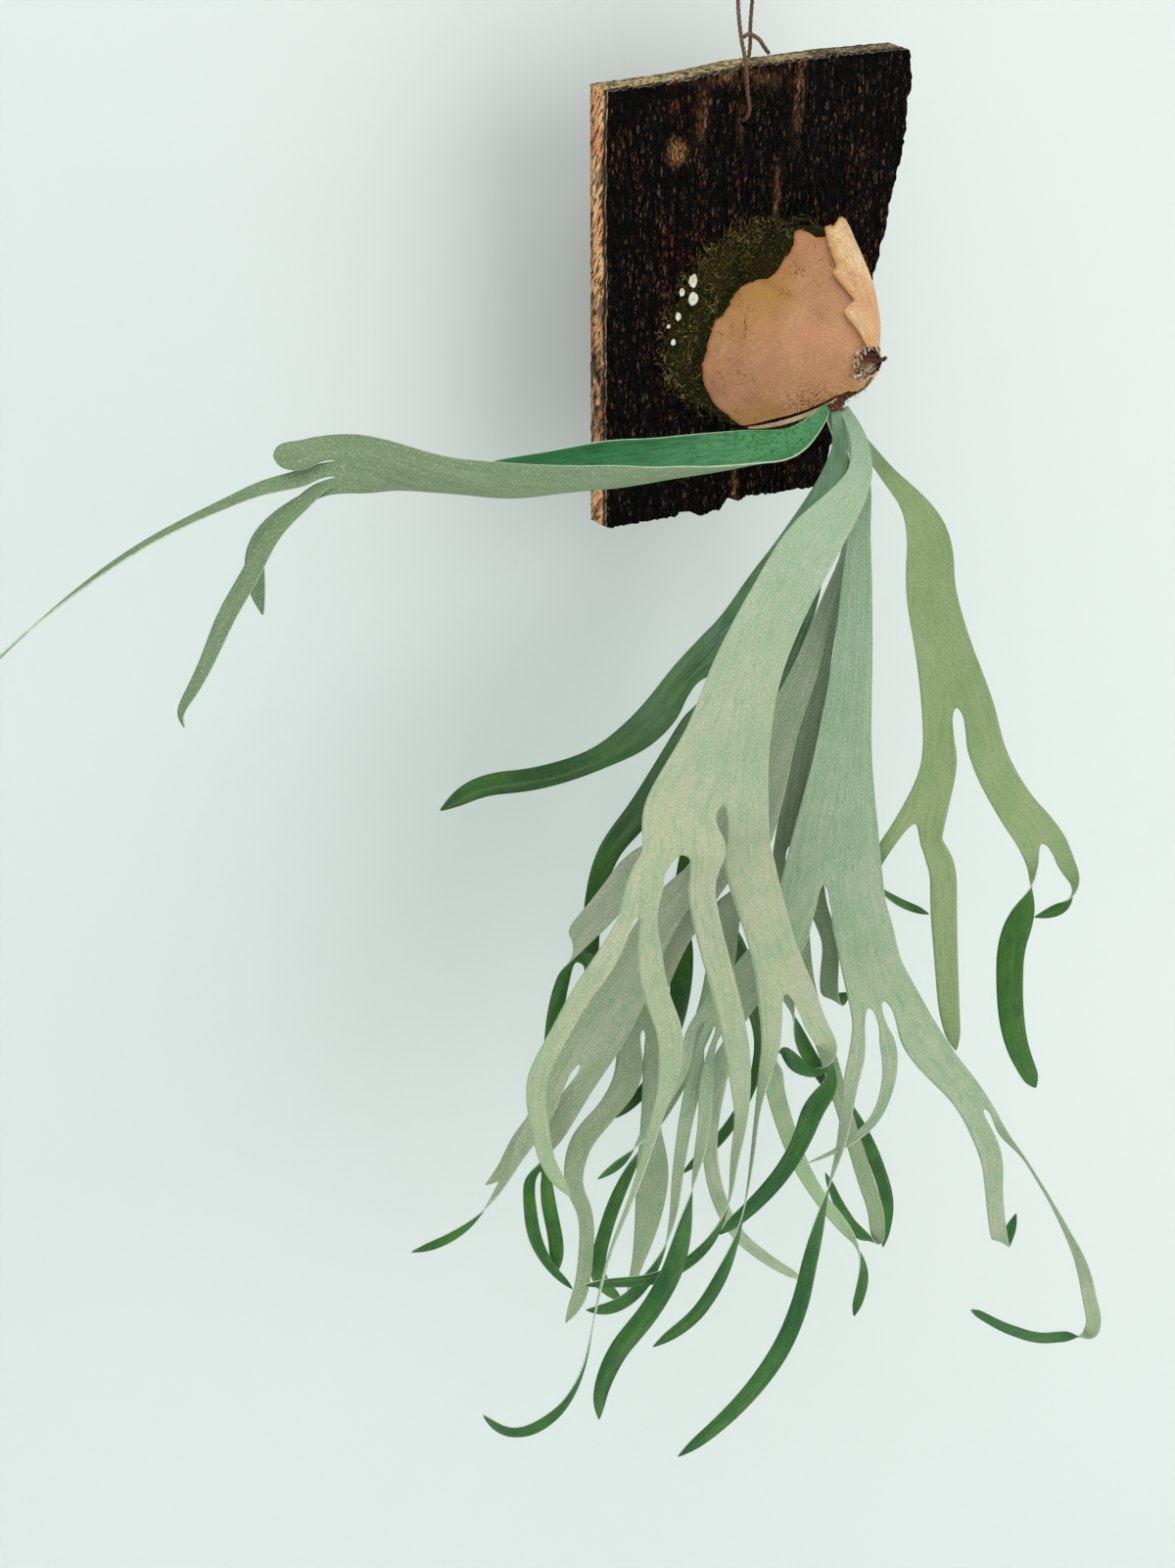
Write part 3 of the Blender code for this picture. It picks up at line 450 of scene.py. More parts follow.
@dataclass
class BarkSlab:
    """The board: bark in front, two sawn edges, a broken foot and a rough flat back."""

    node: str = "bark_slab"
    depth: float = 22.0
    saw_slope: float = 4.0
    # x and z along the sawn top, down the broken right edge and along the foot
    top: tuple[tuple[float, float], ...] = (
        (-103, 121), (-50, 128), (-9, 136), (19, 139), (56, 144), (117, 150))
    right: tuple[tuple[float, float], ...] = (
        (117, 150), (122, 134), (119, 119), (121, 107), (118, 79), (114, 62), (112, 40), (108, 22),
        (104, -4), (97, -34), (94, -60), (84, -96), (78, -128))
    foot: tuple[tuple[float, float], ...] = (
        (78, -128), (56, -127), (36, -128), (14, -127), (6, -130), (-4, -127), (-10, -134), (-26, -137),
        (-39, -132), (-47, -135), (-70, -136), (-102, -137))
    hole: tuple[float, float] = (-7.0, 107.0)
    hole_radius: float = 2.4
    hole_depth: float = 14.0
    groove_top: tuple[float, float] = (8.0, 146.0)
    groove_half_width: float = 2.4
    groove_depth: float = 4.6
    knot: Point = (-55.0, 89.0, 7.5)        # x, z and radius
    # x, z, half width, half height and strength of the places where a rusty layer shows
    rust_marks: tuple[tuple[float, float, float, float, float], ...] = (
        (-38, 108, 4, 14, 0.45), (-9, 106, 2.2, 9, 0.5), (33, 122, 3.5, 22, 0.5), (21, 66, 2.0, 12, 0.75),
        (1, -118, 2.2, 13, 0.9), (-52, -68, 2.5, 1.2, 0.7), (-60, 9, 2, 1.5, 0.8), (-20, 130, 34, 4, 0.5))
    columns: int = 216
    rows: int = 150
    wall_steps: int = 14

    def relief(self, x: float, z: float) -> float:
        """How far the bark stands out at a point, in millimetres, from about -2 to 2.

        Args:
            x: the point's x.
            z: the point's z.

        Returns:
            The relief.
        """
        x += 2.2 * ripple(x / 30, z / 22, 9)
        furrows = min(abs(ripple(x / 6.5, z / 34, 3)) * 5.5, 1.0)
        breaks = min(abs(ripple(x / 9, z / 7.5, 14)) * 7.0, 1.0)
        ridges = min(abs(ripple(x / 2.6, z / 12, 11)) * 4.0, 1.0)
        crumbs = ripple(x / 1.5, z / 2.6, 5)
        return 1.35 * furrows + 0.65 * breaks + 0.75 * ridges + 0.6 * crumbs - 1.6

    def grid_point(self, s: float, t: float, back: float) -> tuple[float, float]:
        """The x and z of a place on the slab.

        Args:
            s: from 0 at the left edge to 1 at the right one.
            t: from 0 at the foot to 1 at the top.
            back: from 0 on the bark's side to 1 on the wall's side.

        Returns:
            x and z in millimetres.
        """
        edge_x, edge_z = zip(*self.right[::-1])
        right_z = edge_z[0] + (edge_z[-1] - edge_z[0]) * t
        right_x = float(np.interp(right_z, edge_z, edge_x))
        right_x += 1.2 * ripple(right_z / 6, 2.0) + 0.7 * ripple(right_z / 1.9, 4.0)
        left_foot, left_top = self.foot[-1][0], self.top[0][0]
        left_x = left_foot - t + 0.5 * ripple(t * 40, 7.0)
        top_x = left_top + (self.top[-1][0] - left_top) * s
        foot_x = left_foot + (self.foot[0][0] - left_foot) * s
        top_z = float(np.interp(top_x, *zip(*self.top)))
        top_z = top_z + 0.5 * ripple(top_x / 5, 1.0) + self.saw_slope * back
        top_z -= (1 - back) * (1.3 + 1.6 * ripple(top_x / 3.2, 5.0) + 0.8 * ripple(top_x / 1.3, 9.0))
        foot_z = float(np.interp(foot_x, *zip(*self.foot[::-1])))
        foot_z += 1.3 * ripple(foot_x / 4.5, 6.0) + 1.0 * ripple(foot_x / 1.4, 8.0)
        return left_x + s * (right_x - left_x), foot_z + t * (top_z - foot_z)

    def front(self, x: float, z: float) -> tuple[float, float, float]:
        """The front at a point.

        Args:
            x: the point's x.
            z: the point's z.

        Returns:
            Its y, its relief, which also paints shade into the hole, and how rusty it is.
        """
        lift = self.relief(x, z)
        knot = math.hypot(x - self.knot[0], z - self.knot[1]) / self.knot[2]
        knot_share = 0.85 * float(1 - smooth(knot + 0.55 * ripple(x / 2, z / 2, 1) - 0.3))
        broken = min(max(ripple(x / 2.2, z / 6, 21) * 1.3 + 0.45, 0.0), 1.0)
        rust = max(strength * hill((x, mark_x, half_width), (z, mark_z, half_height)) * broken * 1.5
                   for mark_x, mark_z, half_width, half_height, strength in self.rust_marks)
        rust = max(min(rust, 1.0), knot_share)
        y = -self.depth - 1.05 * lift - 1.0 * knot_share
        from_hole = math.hypot(x - self.hole[0], z - self.hole[1])
        pit = float(1 - smooth((from_hole - self.hole_radius + 0.4) / 0.8))
        # The pit lowers the relief value, so the inside of the hole is painted near black: painted shade
        return y + self.hole_depth * pit, 0.5 + 0.25 * lift - 0.8 * pit, rust * (1 - pit)

    def behind(self, x: float, z: float) -> float:
        """The back at a point: flat and rough, with the twine's groove.

        Args:
            x: the point's x.
            z: the point's z.

        Returns:
            Its y.
        """
        start, end = np.array(self.hole), np.array(self.groove_top)
        run = end - start
        along = np.clip(np.dot((x, z) - start, run) / np.dot(run, run), 0, 1.2)
        off = np.linalg.norm((x, z) - start - run * along)
        groove = 1 - smooth((off - self.groove_half_width + 0.5) / 1.0)
        rough = 0.35 * abs(ripple(x / 2.4, z / 30, 2)) + 0.25 * abs(ripple(x / 6, z / 6, 8))
        return -rough - self.groove_depth * float(groove)

    def wall_stain(self, x: float, z: float, share: float, top: bool, side: bool) -> float:
        """How dark an edge of the slab is.

        Args:
            x: the place's x.
            z: its z.
            share: how far behind the bark it is, from 0 to 1.
            top: whether it is on the sawn top.
            side: whether it is on the sawn left side.

        Returns:
            The stain, from 0 to 1.
        """
        # A dark stain half way up the left edge, a rind behind the bark and a brown layer by the wall
        band = hill((z, -50, 34)) * (0.75 + ripple(z / 8, share * 3) * 1.3)
        rind = 0.2 + 0.10 * ripple(x / 3, z / 5, 6)
        layer = 0.5 * float(smooth((share - 0.78) / 0.1)) + 0.95 * float(1 - smooth((share - rind) / 0.06))
        if top and not side:
            layer += 0.5 * float(smooth((x + 20) / 110))
        return min(max(band, layer, 0.0), 1.0)

    def build(self) -> bpy.types.Object:
        """Builds the slab: its front, its back, and the walls between them.

        Returns:
            The slab.
        """
        spots = [(s, t) for t in np.linspace(0, 1, self.rows) for s in np.linspace(0, 1, self.columns)]
        points, relief, rust = [], [], []
        for s, t in spots:
            x, z = self.grid_point(s, t, 0.0)
            y, lift, rusty = self.front(x, z)
            points.append((x, y, z))
            relief.append(lift)
            rust.append(rusty)
        size = len(points)
        stain = [0.0] * size
        for s, t in spots:
            x, z = self.grid_point(s, t, 1.0)
            points.append((x, self.behind(x, z), z))
            stain.append(max(0.0, 0.8 * ripple(x / 40, z / 60, 5)))
        faces = [f[::-1] for f in grid_faces(self.rows, self.columns)]
        faces += grid_faces(self.rows, self.columns, start=size)
        kinds = [0] * (len(faces) // 2) + [2] * (len(faces) // 2)
        last = (self.rows - 1) * self.columns
        ring = [*range(self.columns), *range(2 * self.columns - 1, size, self.columns),
                *range(size - 2, last - 1, -1), *range(last - self.columns, 0, -self.columns)]
        top_from = self.columns + self.rows - 2
        side_from = top_from + self.columns - 1
        rings = [ring]
        for step in range(1, self.wall_steps):
            share = step / self.wall_steps
            row = []
            for number, i in enumerate(ring):
                here, there = np.array(points[i]), np.array(points[i + size])
                x, y, z = here + (there - here) * share
                rough = 0.45 * ripple(number / 2.5, share * 9, 3)
                row.append(len(points))
                points.append((x + rough, y, z + rough))
                stain.append(self.wall_stain(x, z, share, number >= top_from, number >= side_from))
            rings.append(row)
        rings.append([i + size for i in ring])
        for inner, outer in zip(rings, rings[1:]):
            for number in range(len(ring)):
                after = (number + 1) % len(ring)
                faces.append((inner[number], outer[number], outer[after], inner[after]))
                kinds.append(0 if number < top_from else 3 if number < side_from else 1)
        extra = len(points) - size
        relief += [0.42 + 0.3 * ripple(i / 7.0, 3.0) for i in range(extra)]
        rust += [0.0] * extra
        finishes = [WeatheredBark().make(),
                    SawnWood("sawn_bark_side", "#FFCB8E", "#E8935A", "#24130B", 0.85).make(),
                    SawnWood("split_bark_back", "#8E6A4A", "#6E4C33", "#3A271A", 0.0, 0.5).make(),
                    SawnWood("sawn_bark_top", "#C9AC78", "#9C8A55", "#2A1D12", 0.3).make()]
        made = make_object("bark_board", points, faces, finishes,
                           {"relief": relief, "rust": rust, "stain": stain}, kinds)
        return place(made, Slot.BARK, self.node)


# Twine

@dataclass(frozen=True)
class JuteTwine:
    """Jute, spun and laid in plies: matt brown, paler where the fibres stand out."""

    fibre_mm: float = 0.35

    def make(self) -> bpy.types.Material:
        """Builds the material.

        Returns:
            The material.
        """
        jute = Surface("laid_jute_twine", {
            "Roughness": 0.92, "Specular IOR Level": 0.2, "Sheen Weight": 0.05, "Sheen Roughness": 0.5})
        strand = jute.node("Attribute", output="Vector", attribute_name="strand")
        fibres = jute.grain((self.fibre_mm, 4.0, ENDLESS_MM), 3.0, along=strand)
        jute.shade = jute.node("ValToRGB", {0: fibres}, stops=(
            (0.25, "#3A291C"), (0.5, "#6E553C"), (0.75, "#A3866A")))
        jute.lay("#6A4B34", Stretch(jute.grain(6.0, 2.0), 0.45, 0.7, 0.0, 0.5))
        # The bark has stained its lowest part, from 150 mm down to 118 mm
        jute.lay("#5A3020", Stretch(jute.node("SeparateXYZ", {0: jute.here}, "Z"), 0.118, 0.15, 0.5, 0.0))
        return jute.finish(fibres, 0.2, 0.8)


@dataclass
class TwineLoop:
    """One length of twine: out of the hole, up the bark, over a nail and down behind the slab."""

    diameter: float = 2.6
    plies: int = 3
    lay_mm: float = 9.0             # length of one turn of the plies
    ply_depth: float = 0.13         # how deep the valleys between the plies are, as a share
    ring_mm: float = 0.7
    sides: int = 18
    fuzz: int = 150
    fuzz_radii: Point = (0.07, 0.06, 0.02)
    route: tuple[Point, ...] = (
        (-7, -8, 107), (-7, -16, 107), (-7, -24, 108), (-7, -27, 113), (-8, -25.5, 121),
        (-9, -25, 131), (-10, -24, 139), (-10, -20, 147), (-10, -16, 157), (-10, -13, 169),
        (-9, -11, 180), (-3, -10, 187), (3, -9, 181), (4, -7, 170), (5, -5, 158),
        (6.6, -3.4, 149), (6.5, -2.5, 142), (3.0, -2.3, 133), (-1.2, -2.3, 122), (-5.2, -2.3, 111.5))
    hitch: tuple[Point, ...] = (
        (-7.4, -17.6, 151), (-3, -16, 152.5), (3, -13, 152), (9, -10, 150.4), (14, -8, 147.2),
        (18, -8, 143.8))

    def strand(self, name: str, line: np.ndarray, finish: bpy.types.Material) -> bpy.types.Object:
        """Builds a laid twine along a centre line.

        Args:
            name: its name.
            line: the points of its centre line, in millimetres.
            finish: its material.

        Returns:
            The twine.
        """
        across, out = side_frames(line)
        run = np.concatenate([[0.0], np.cumsum(np.linalg.norm(np.diff(line, axis=0), axis=1))])
        points, strands = [], []
        for i, centre in enumerate(line):
            for turn in np.arange(self.sides) * TURN / self.sides:
                lay = turn - run[i] / self.lay_mm * TURN
                radius = self.diameter / 2 * (1 - self.ply_depth * (1 - math.cos(self.plies * lay)))
                points.append(centre + radius * (math.cos(turn) * across[i] + math.sin(turn) * out[i]))
                strands.append((lay * self.diameter / 2 * MM, run[i] * MM, 0.0))
        return make_object(name, points, closed_tube(len(line), self.sides), [finish], {"strand": strands})

    def fibres(self, line: np.ndarray, finish: bpy.types.Material) -> bpy.types.Object:
        """Loose fibres that stand out of the twine, as fine three-sided hairs.

        Args:
            line: the points of the twine's centre line.
            finish: their material.

        Returns:
            The fibres.
        """
        chance = np.random.default_rng(5)
        across, out = side_frames(line)
        points, faces = [], []
        for _ in range(self.fuzz):
            i = int(chance.integers(4, len(line) - 30))
            turn = chance.uniform(0, TURN)
            away = math.cos(turn) * across[i] + math.sin(turn) * out[i]
            root = line[i] + away * self.diameter * 0.42
            lean = unit(away + chance.normal(0, 0.8, 3))
            length = chance.uniform(0.9, 2.6)
            bend = chance.normal(0, 0.35, 3)
            path = np.array([root + lean * length * t + bend * length * t * t for t in (0, 0.5, 1)])
            hair, hair_faces = thin_tube(path, self.fuzz_radii, len(points))
            points += hair
            faces += hair_faces
        return make_object("twine_fibres", points, faces, [finish], {"strand": np.zeros((len(points), 3))})

    def build(self) -> None:
        """Builds the loop, its crossing turn and the loose fibres."""
        finish = JuteTwine().make()
        line = curve_through(self.route, self.ring_mm)
        loop = self.strand("jute_twine_loop", line, finish)
        turn = self.strand("jute_twine_hitch", curve_through(self.hitch, self.ring_mm), finish)
        fuzz = self.fibres(line, finish)
        place(loop, Slot.TWINE, "hanging_twine")
        place(turn, Slot.TWINE, "twine_hitch")
        place(fuzz, Slot.TWINE)


# Shield fronds, and the dome that they make

BUD = (35.0, -27.0)             # x and z of the growing point, where the dome is highest
DOME_EDGE = 28.0
DOME_RISE = 86.0
DOME_POWER = 1.8
DOME_RIM = {0: 48, 15: 46, 30: 48, 45: 54, 60: 74, 68: 84, 75: 92, 90: 96, 112: 70, 130: 60, 150: 63,
            170: 71, 190: 74, 215: 74, 235: 71, 260: 58, 290: 50, 320: 48, 345: 50}


def dome_height(x: float, z: float) -> float:
    """How far the dome stands in front of the slab's back, in millimetres.

    Args:
        x: the place's x.
        z: the place's z.

    Returns:
        The height.
    """
    across, up = x - BUD[0], z - BUD[1]
    rim = look_up(DOME_RIM, math.degrees(math.atan2(up, across)), 360)
    share = min(math.hypot(across, up) / rim, 1.3)
    return DOME_EDGE + DOME_RISE * (1 - share ** DOME_POWER)


def dome_slopes(x: float, z: float) -> tuple[float, float]:
    """How fast the dome rises along x and along z."""
    return (dome_height(x + 0.5, z) - dome_height(x - 0.5, z),
            dome_height(x, z + 0.5) - dome_height(x, z - 0.5))


def from_bud(angle: float, radius: float) -> tuple[float, float]:
    """The x and z at an angle, in degrees from +X towards +Z, and a distance from the growing point."""
    return (BUD[0] + radius * math.cos(math.radians(angle)),
            BUD[1] + radius * math.sin(math.radians(angle)))


def dome_point(angle: float, radius: float, lift: float) -> np.ndarray:
    """A place on the dome.

    Args:
        angle: degrees about the growing point, from +X towards +Z.
        radius: distance from the growing point, seen from the front.
        lift: distance out of the dome, square to it.

    Returns:
        The place, in millimetres.
    """
    x, z = from_bud(angle, radius)
    slope_x, slope_z = dome_slopes(x, z)
    return np.array((x, -dome_height(x, z), z)) + lift * unit(np.array((-slope_x, -1.0, -slope_z)))


@dataclass(frozen=True)
class DryShield:
    """Shield frond, dried on the plant: papery, peach brown, with fine veins that fork outwards."""

    name: str
    pale: str
    deep: str
    net: float = 0.3            # how strongly the net of veins shows
    vein: float = 0.22          # how strongly the long veins show

    def make(self) -> bpy.types.Material:
        """Builds the material.

        Returns:
            The material.
        """
        paper = Surface(self.name, {"Roughness": 0.66, "IOR": 1.45, "Specular IOR Level": 0.25}, self.pale)
        strand = paper.node("Attribute", output="Vector", attribute_name="strand")
        rim, ochre, spots = (paper.node("Attribute", output="Fac", attribute_name=name)
                             for name in ("rim", "ochre", "spots"))
        veins = paper.grain((0.75, 30.0, ENDLESS_MM), 3.0, along=strand)
        clouds = paper.grain(18.0, 3.0, 3.0)
        pits = paper.grain(0.9, 3.0, 6.0)
        # A net of veins with meshes 1.6 mm wide and 2.4 mm long
        net = paper.node("Mapping", {"Vector": strand, "Scale": (640.0, 420.0, 1.0)})
        cells = paper.node("TexVoronoi", {"Vector": net, "Scale": 1.0}, "Distance",
                           feature="DISTANCE_TO_EDGE")
        specks = Stretch(paper.grain(1.3, 4.0, 12.0), 0.5, 0.6)
        paper.lay(self.deep, Stretch(clouds, 0.35, 0.7))
        paper.lay("#8A5434", Stretch(veins, 0.36, 0.52, self.vein, 0.0))
        paper.lay("#85552E", Stretch(cells, 0.0, 0.13, self.net, 0.0))
        paper.lay("#93583A", Stretch(pits, 0.54, 0.68, 0.0, 0.4))
        paper.lay("#F4BF94", Stretch(pits, 0.3, 0.46, 0.36, 0.0))
        paper.lay("#D08C6C", Stretch(paper.grain(30.0, 2.0, 20.0), 0.46, 0.62, 0.0, 0.4))
        paper.lay("#C08B3E", paper.node("Math", {0: ochre, 1: Stretch(clouds, 0.3, 0.7, 0.55, 1.0)},
                                        operation="MULTIPLY"))
        paper.lay("#C47A34", rim)
        paper.lay("#6E3A20", paper.node("Math", {0: spots, 1: specks}, operation="MULTIPLY"))
        height = paper.node("Math", {0: veins, 1: Stretch(pits, 0.2, 0.8, 0.0, 0.6)}, operation="ADD")
        return paper.finish(height, 0.34, 0.8)


@dataclass(frozen=True)
class ShieldRim:
    """The broken rim of a dry shield: pale, fibrous and a little frayed."""

    def make(self) -> bpy.types.Material:
        """Builds the material.

        Returns:
            The material.
        """
        rim = Surface("frayed_shield_rim", {"Roughness": 0.75})
        rim.shade = rim.node("ValToRGB", {0: rim.grain(0.8, 3.0)}, stops=(
            (0.3, "#9A6738"), (0.55, "#CF9A63"), (0.8, "#EBCBA0")))
        return rim.finish()


@dataclass
class Shields:
    """The two dry shield fronds, the right one lapped over the left one."""

    # The rims, as angle: radius from the growing point
    left_edge: dict[float, float] = field(default_factory=lambda: {
        66: 62, 78: 66, 90: 67, 93.5: 69.4, 96.4: 69.0, 97.6: 72.4, 99.5: 73.4, 101.8: 72.8,
        103.4: 69.5, 104.9: 66.7, 109.2: 62.4, 115.9: 58.4, 122: 55.8, 126.2: 55.2, 129.7: 56.5,
        134.7: 58.1, 140.7: 59.5, 145.7: 60.5, 152.3: 61.4, 158.9: 63.6, 162.5: 66.1, 169.1: 67.9,
        174.2: 68.7, 179.3: 69.6, 184.3: 71.2, 191.7: 71.8, 199.6: 71.3, 208.4: 70.0, 214.1: 67.4,
        221.1: 65.5, 225: 64, 228: 50, 230: 39, 234: 24.5, 244: 19.2, 262: 18.2, 290: 17.6, 318: 17.6})
    right_edge: dict[float, float] = field(default_factory=lambda: {
        -58: 44, -40: 45, -20: 46.5, 0: 47, 15: 46, 30: 48, 45: 54, 56: 68, 61: 75, 64.5: 76, 67: 72,
        69.5: 70.3, 71.5: 73, 73.5: 78.6, 76: 79.2, 77.8: 78.4, 79.5: 79.6, 83.2: 79.8, 86: 79.5,
        88.2: 77.7, 94: 73})
    # The overlapping side of the right shield, with its two teeth, as radius: angle
    flap: dict[float, float] = field(default_factory=lambda: {
        9: 108, 18: 109, 24.7: 110.4, 29.4: 110.6, 32: 105, 34.2: 97.4, 38.3: 98.8, 43.8: 100.2,
        50.0: 100.6, 51.6: 97.4, 55.3: 96.2, 60: 95.4, 66: 93.9, 71.7: 92.1, 77.7: 88.2, 80: 86})
    flap_shown: float = 97.4
    inner: float = 9.0
    thickness: float = 1.1
    right_lift: float = 1.9
    left_steps: int = 250
    right_steps: int = 190
    radius_steps: int = 64
    roll_rows: int = 60
    roll_columns: int = 14
    roll_width: float = 9.5
    roll_thickness: float = 0.7

    def ochre(self, angle: float, radius: float, edge: float) -> float:
        """How golden the left shield is at a place: at its upper left rim and low by the crown.

        Args:
            angle: the place's angle.
            radius: its distance from the growing point.
            edge: the rim's distance there.

        Returns:
            The share of ochre, from 0 to 1.
        """
        rim = hill((angle, 140, 26)) * float(smooth((radius / edge - 0.62) / 0.3))
        low = hill((angle, 236, 10), (radius, 30, 12)) * 0.8
        foot = 0.55 * hill((angle, 222, 9)) * float(smooth((radius - 38) / 14))
        return min(max(0.9 * rim, low, foot), 1.0)

    def spots(self, angle: float, radius: float) -> float:
        """How thickly reddish specks lie at a place.

        Args:
            angle: the place's angle.
            radius: its distance from the growing point.

        Returns:
            From 0 to 1.
        """
        low = hill((angle, 222, 16), (radius, 36, 16))
        high = 0.8 * hill((angle, 113, 5), (radius, 53, 3.5))
        rest = 0.8 * hill((angle, 128, 4), (radius, 47, 2.4))
        return min(max(low, high, rest, 0.12), 1.0)

    def surface(self, angle: float, radius: float, edge: float, lift: float) -> np.ndarray:
        """A place on a shield, with its soft dents, radial ribs and curled rim.

        Args:
            angle: degrees about the growing point.
            radius: distance from the growing point.
            edge: the rim's distance there.
            lift: how far out of the dome the shield lies.

        Returns:
            The place, in millimetres.
        """
        turned = math.radians(angle)
        dents = 1.25 * ripple(math.cos(turned) * radius / 17, math.sin(turned) * radius / 17, 5)
        ribs = 0.35 * ripple(angle / 5.5, radius / 60, 4) * float(smooth((radius - 14) / 20))
        curl = (0.7 + 0.9 * ripple(angle / 9, 1.0, 8)) * float(smooth((radius / edge - 0.84) / 0.16))
        calm = float(smooth((radius - 9) / 8))
        return dome_point(angle, radius, lift + (dents + ribs) * calm * 0.8 + curl)

    def skin(self, name: str, angles: np.ndarray, table: dict[float, float], lift: float,
             lapped: bool, finishes: list[bpy.types.Material]) -> bpy.types.Object:
        """Builds one shield.

        Args:
            name: its name.
            angles: the angles of its columns.
            table: its rim: radius at each angle.
            lift: how far out of the dome it lies.
            lapped: whether its last side is the flap.
            finishes: its outer, inner and rim materials.

        Returns:
            The shield.
        """
        points, strands, rims, golds, dots = [], [], [], [], []
        for number, angle in enumerate(angles):
            edge = look_up(table, angle) + (0.5 * ripple(angle / 1.4, 3.0) + 0.4 * ripple(angle / 0.6, 6.0))
            late = number / (len(angles) - 1)
            for radius in self.inner + (edge - self.inner) * np.linspace(0, 1, self.radius_steps):
                turn, ragged, rise = angle, 0.0, 0.0
                if lapped:
                    side = look_up(self.flap, radius)
                    side += 0.5 * ripple(radius / 1.6, 5.0) * min(radius / 30, 1.0)
                    turn += (side - angles[-1]) * late ** 6
                    ragged = float(smooth((late - 0.955) / 0.045))
                    rise = 1.3 * ragged * (1 + ripple(radius / 6, 2.0))
                points.append(self.surface(turn, radius, edge, lift + rise))
                strands.append((turn * 0.62 * MM, radius * MM, 0.0))
                near = float(smooth((radius / edge - 0.965) / 0.035))
                rims.append(min(max(near * (0.35 + 0.6 * hill((turn, 88, 22))), 0.65 * ragged ** 3), 1.0))
                golds.append(0.18 if lapped else self.ochre(turn, radius, edge))
                dots.append(0.1 if lapped else self.spots(turn, radius))
        made = make_object(name, points, grid_faces(len(angles), self.radius_steps), finishes,
                           {"strand": strands, "rim": rims, "ochre": golds, "spots": dots})
        modify(made, "thickness", "SOLIDIFY", thickness=self.thickness * MM, offset=-1.0,
               material_offset=1, material_offset_rim=2)
        return made

    def rolled_rim(self, finish: bpy.types.Material) -> bpy.types.Object:
        """The left shield's lower rim, rolled under between its foot and the crown.

        Args:
            finish: its material.

        Returns:
            The rolled rim.
        """
        points, strands = [], []
        for share in np.linspace(0, 1, self.roll_rows):
            angle = 226 + 10.5 * share ** 0.8
            root = dome_point(angle, 62 - 37 * share, 1.6)
            width = self.roll_width * math.sin(math.pi * min(share * 0.92 + 0.06, 1.0)) ** 0.7
            outward = unit(np.array((math.cos(math.radians(angle + 80)), 0.0,
                                     math.sin(math.radians(angle + 80)))))
            for turn in np.linspace(0, 1, self.roll_columns):
                bend = turn * 1.9
                out = outward * width * math.sin(bend) / 1.9
                back = np.array((0.0, 1.0, 0.0)) * width * (1 - math.cos(bend)) / 1.6
                points.append(root + out + back)
                strands.append((share * 30 * MM, turn * 6 * MM, 0.0))
        made = make_object("rolled_shield_rim", points, grid_faces(self.roll_rows, self.roll_columns),
                           [finish] * 3, {"strand": strands, "rim": np.zeros(len(points)),
                                          "ochre": np.full(len(points), 0.1),
                                          "spots": np.full(len(points), 0.15)})
        modify(made, "thickness", "SOLIDIFY", thickness=self.roll_thickness * MM, offset=0.0)
        return made

    def build(self) -> None:
        """Builds both shields and the rolled rim."""
        rim = ShieldRim().make()
        left = DryShield("dry_shield_paper", "#DA9F75", "#C48A62", 0.2, 0.07).make()
        right = DryShield("dry_shield_paper_golden", "#FFDDB0", "#F0BC86", 0.42, 0.3).make()
        inside = DryShield("dry_shield_inside", "#EAD0B0", "#D4AC84", 0.15).make()
        place(self.skin("left_shield", np.linspace(66, 318, self.left_steps), self.left_edge, 0.0, False,
                        [left, inside, rim]), Slot.SHIELD, "left_shield_frond")
        place(self.skin("right_shield", np.linspace(-58, self.flap_shown, self.right_steps),
                        self.right_edge, self.right_lift, True, [right, inside, rim]),
              Slot.SHIELD, "right_shield_frond")
        place(self.rolled_rim(inside), Slot.SHIELD)


# Moss

@dataclass(frozen=True)
class DryMoss:
    """Sphagnum and feather moss, tied on damp and part dried: olive leaves over a brown felt."""

    name: str
    dark: str
    middle: str
    light: str

    def make(self) -> bpy.types.Material:
        """Builds the material.

        Returns:
            The material.
        """
        moss = Surface(self.name, {"Roughness": 0.93, "Specular IOR Level": 0.15})
        fine = moss.grain(1.6, 4.0, 3.0)
        moss.shade = moss.node("ValToRGB", {0: fine}, stops=(
            (0.3, self.dark), (0.52, self.middle), (0.75, self.light)))
        moss.lay("#3A2D14", Stretch(moss.grain(13.0), 0.45, 0.66, 0.0, 0.6))
        return moss.finish(fine, 1.2, 1.0)


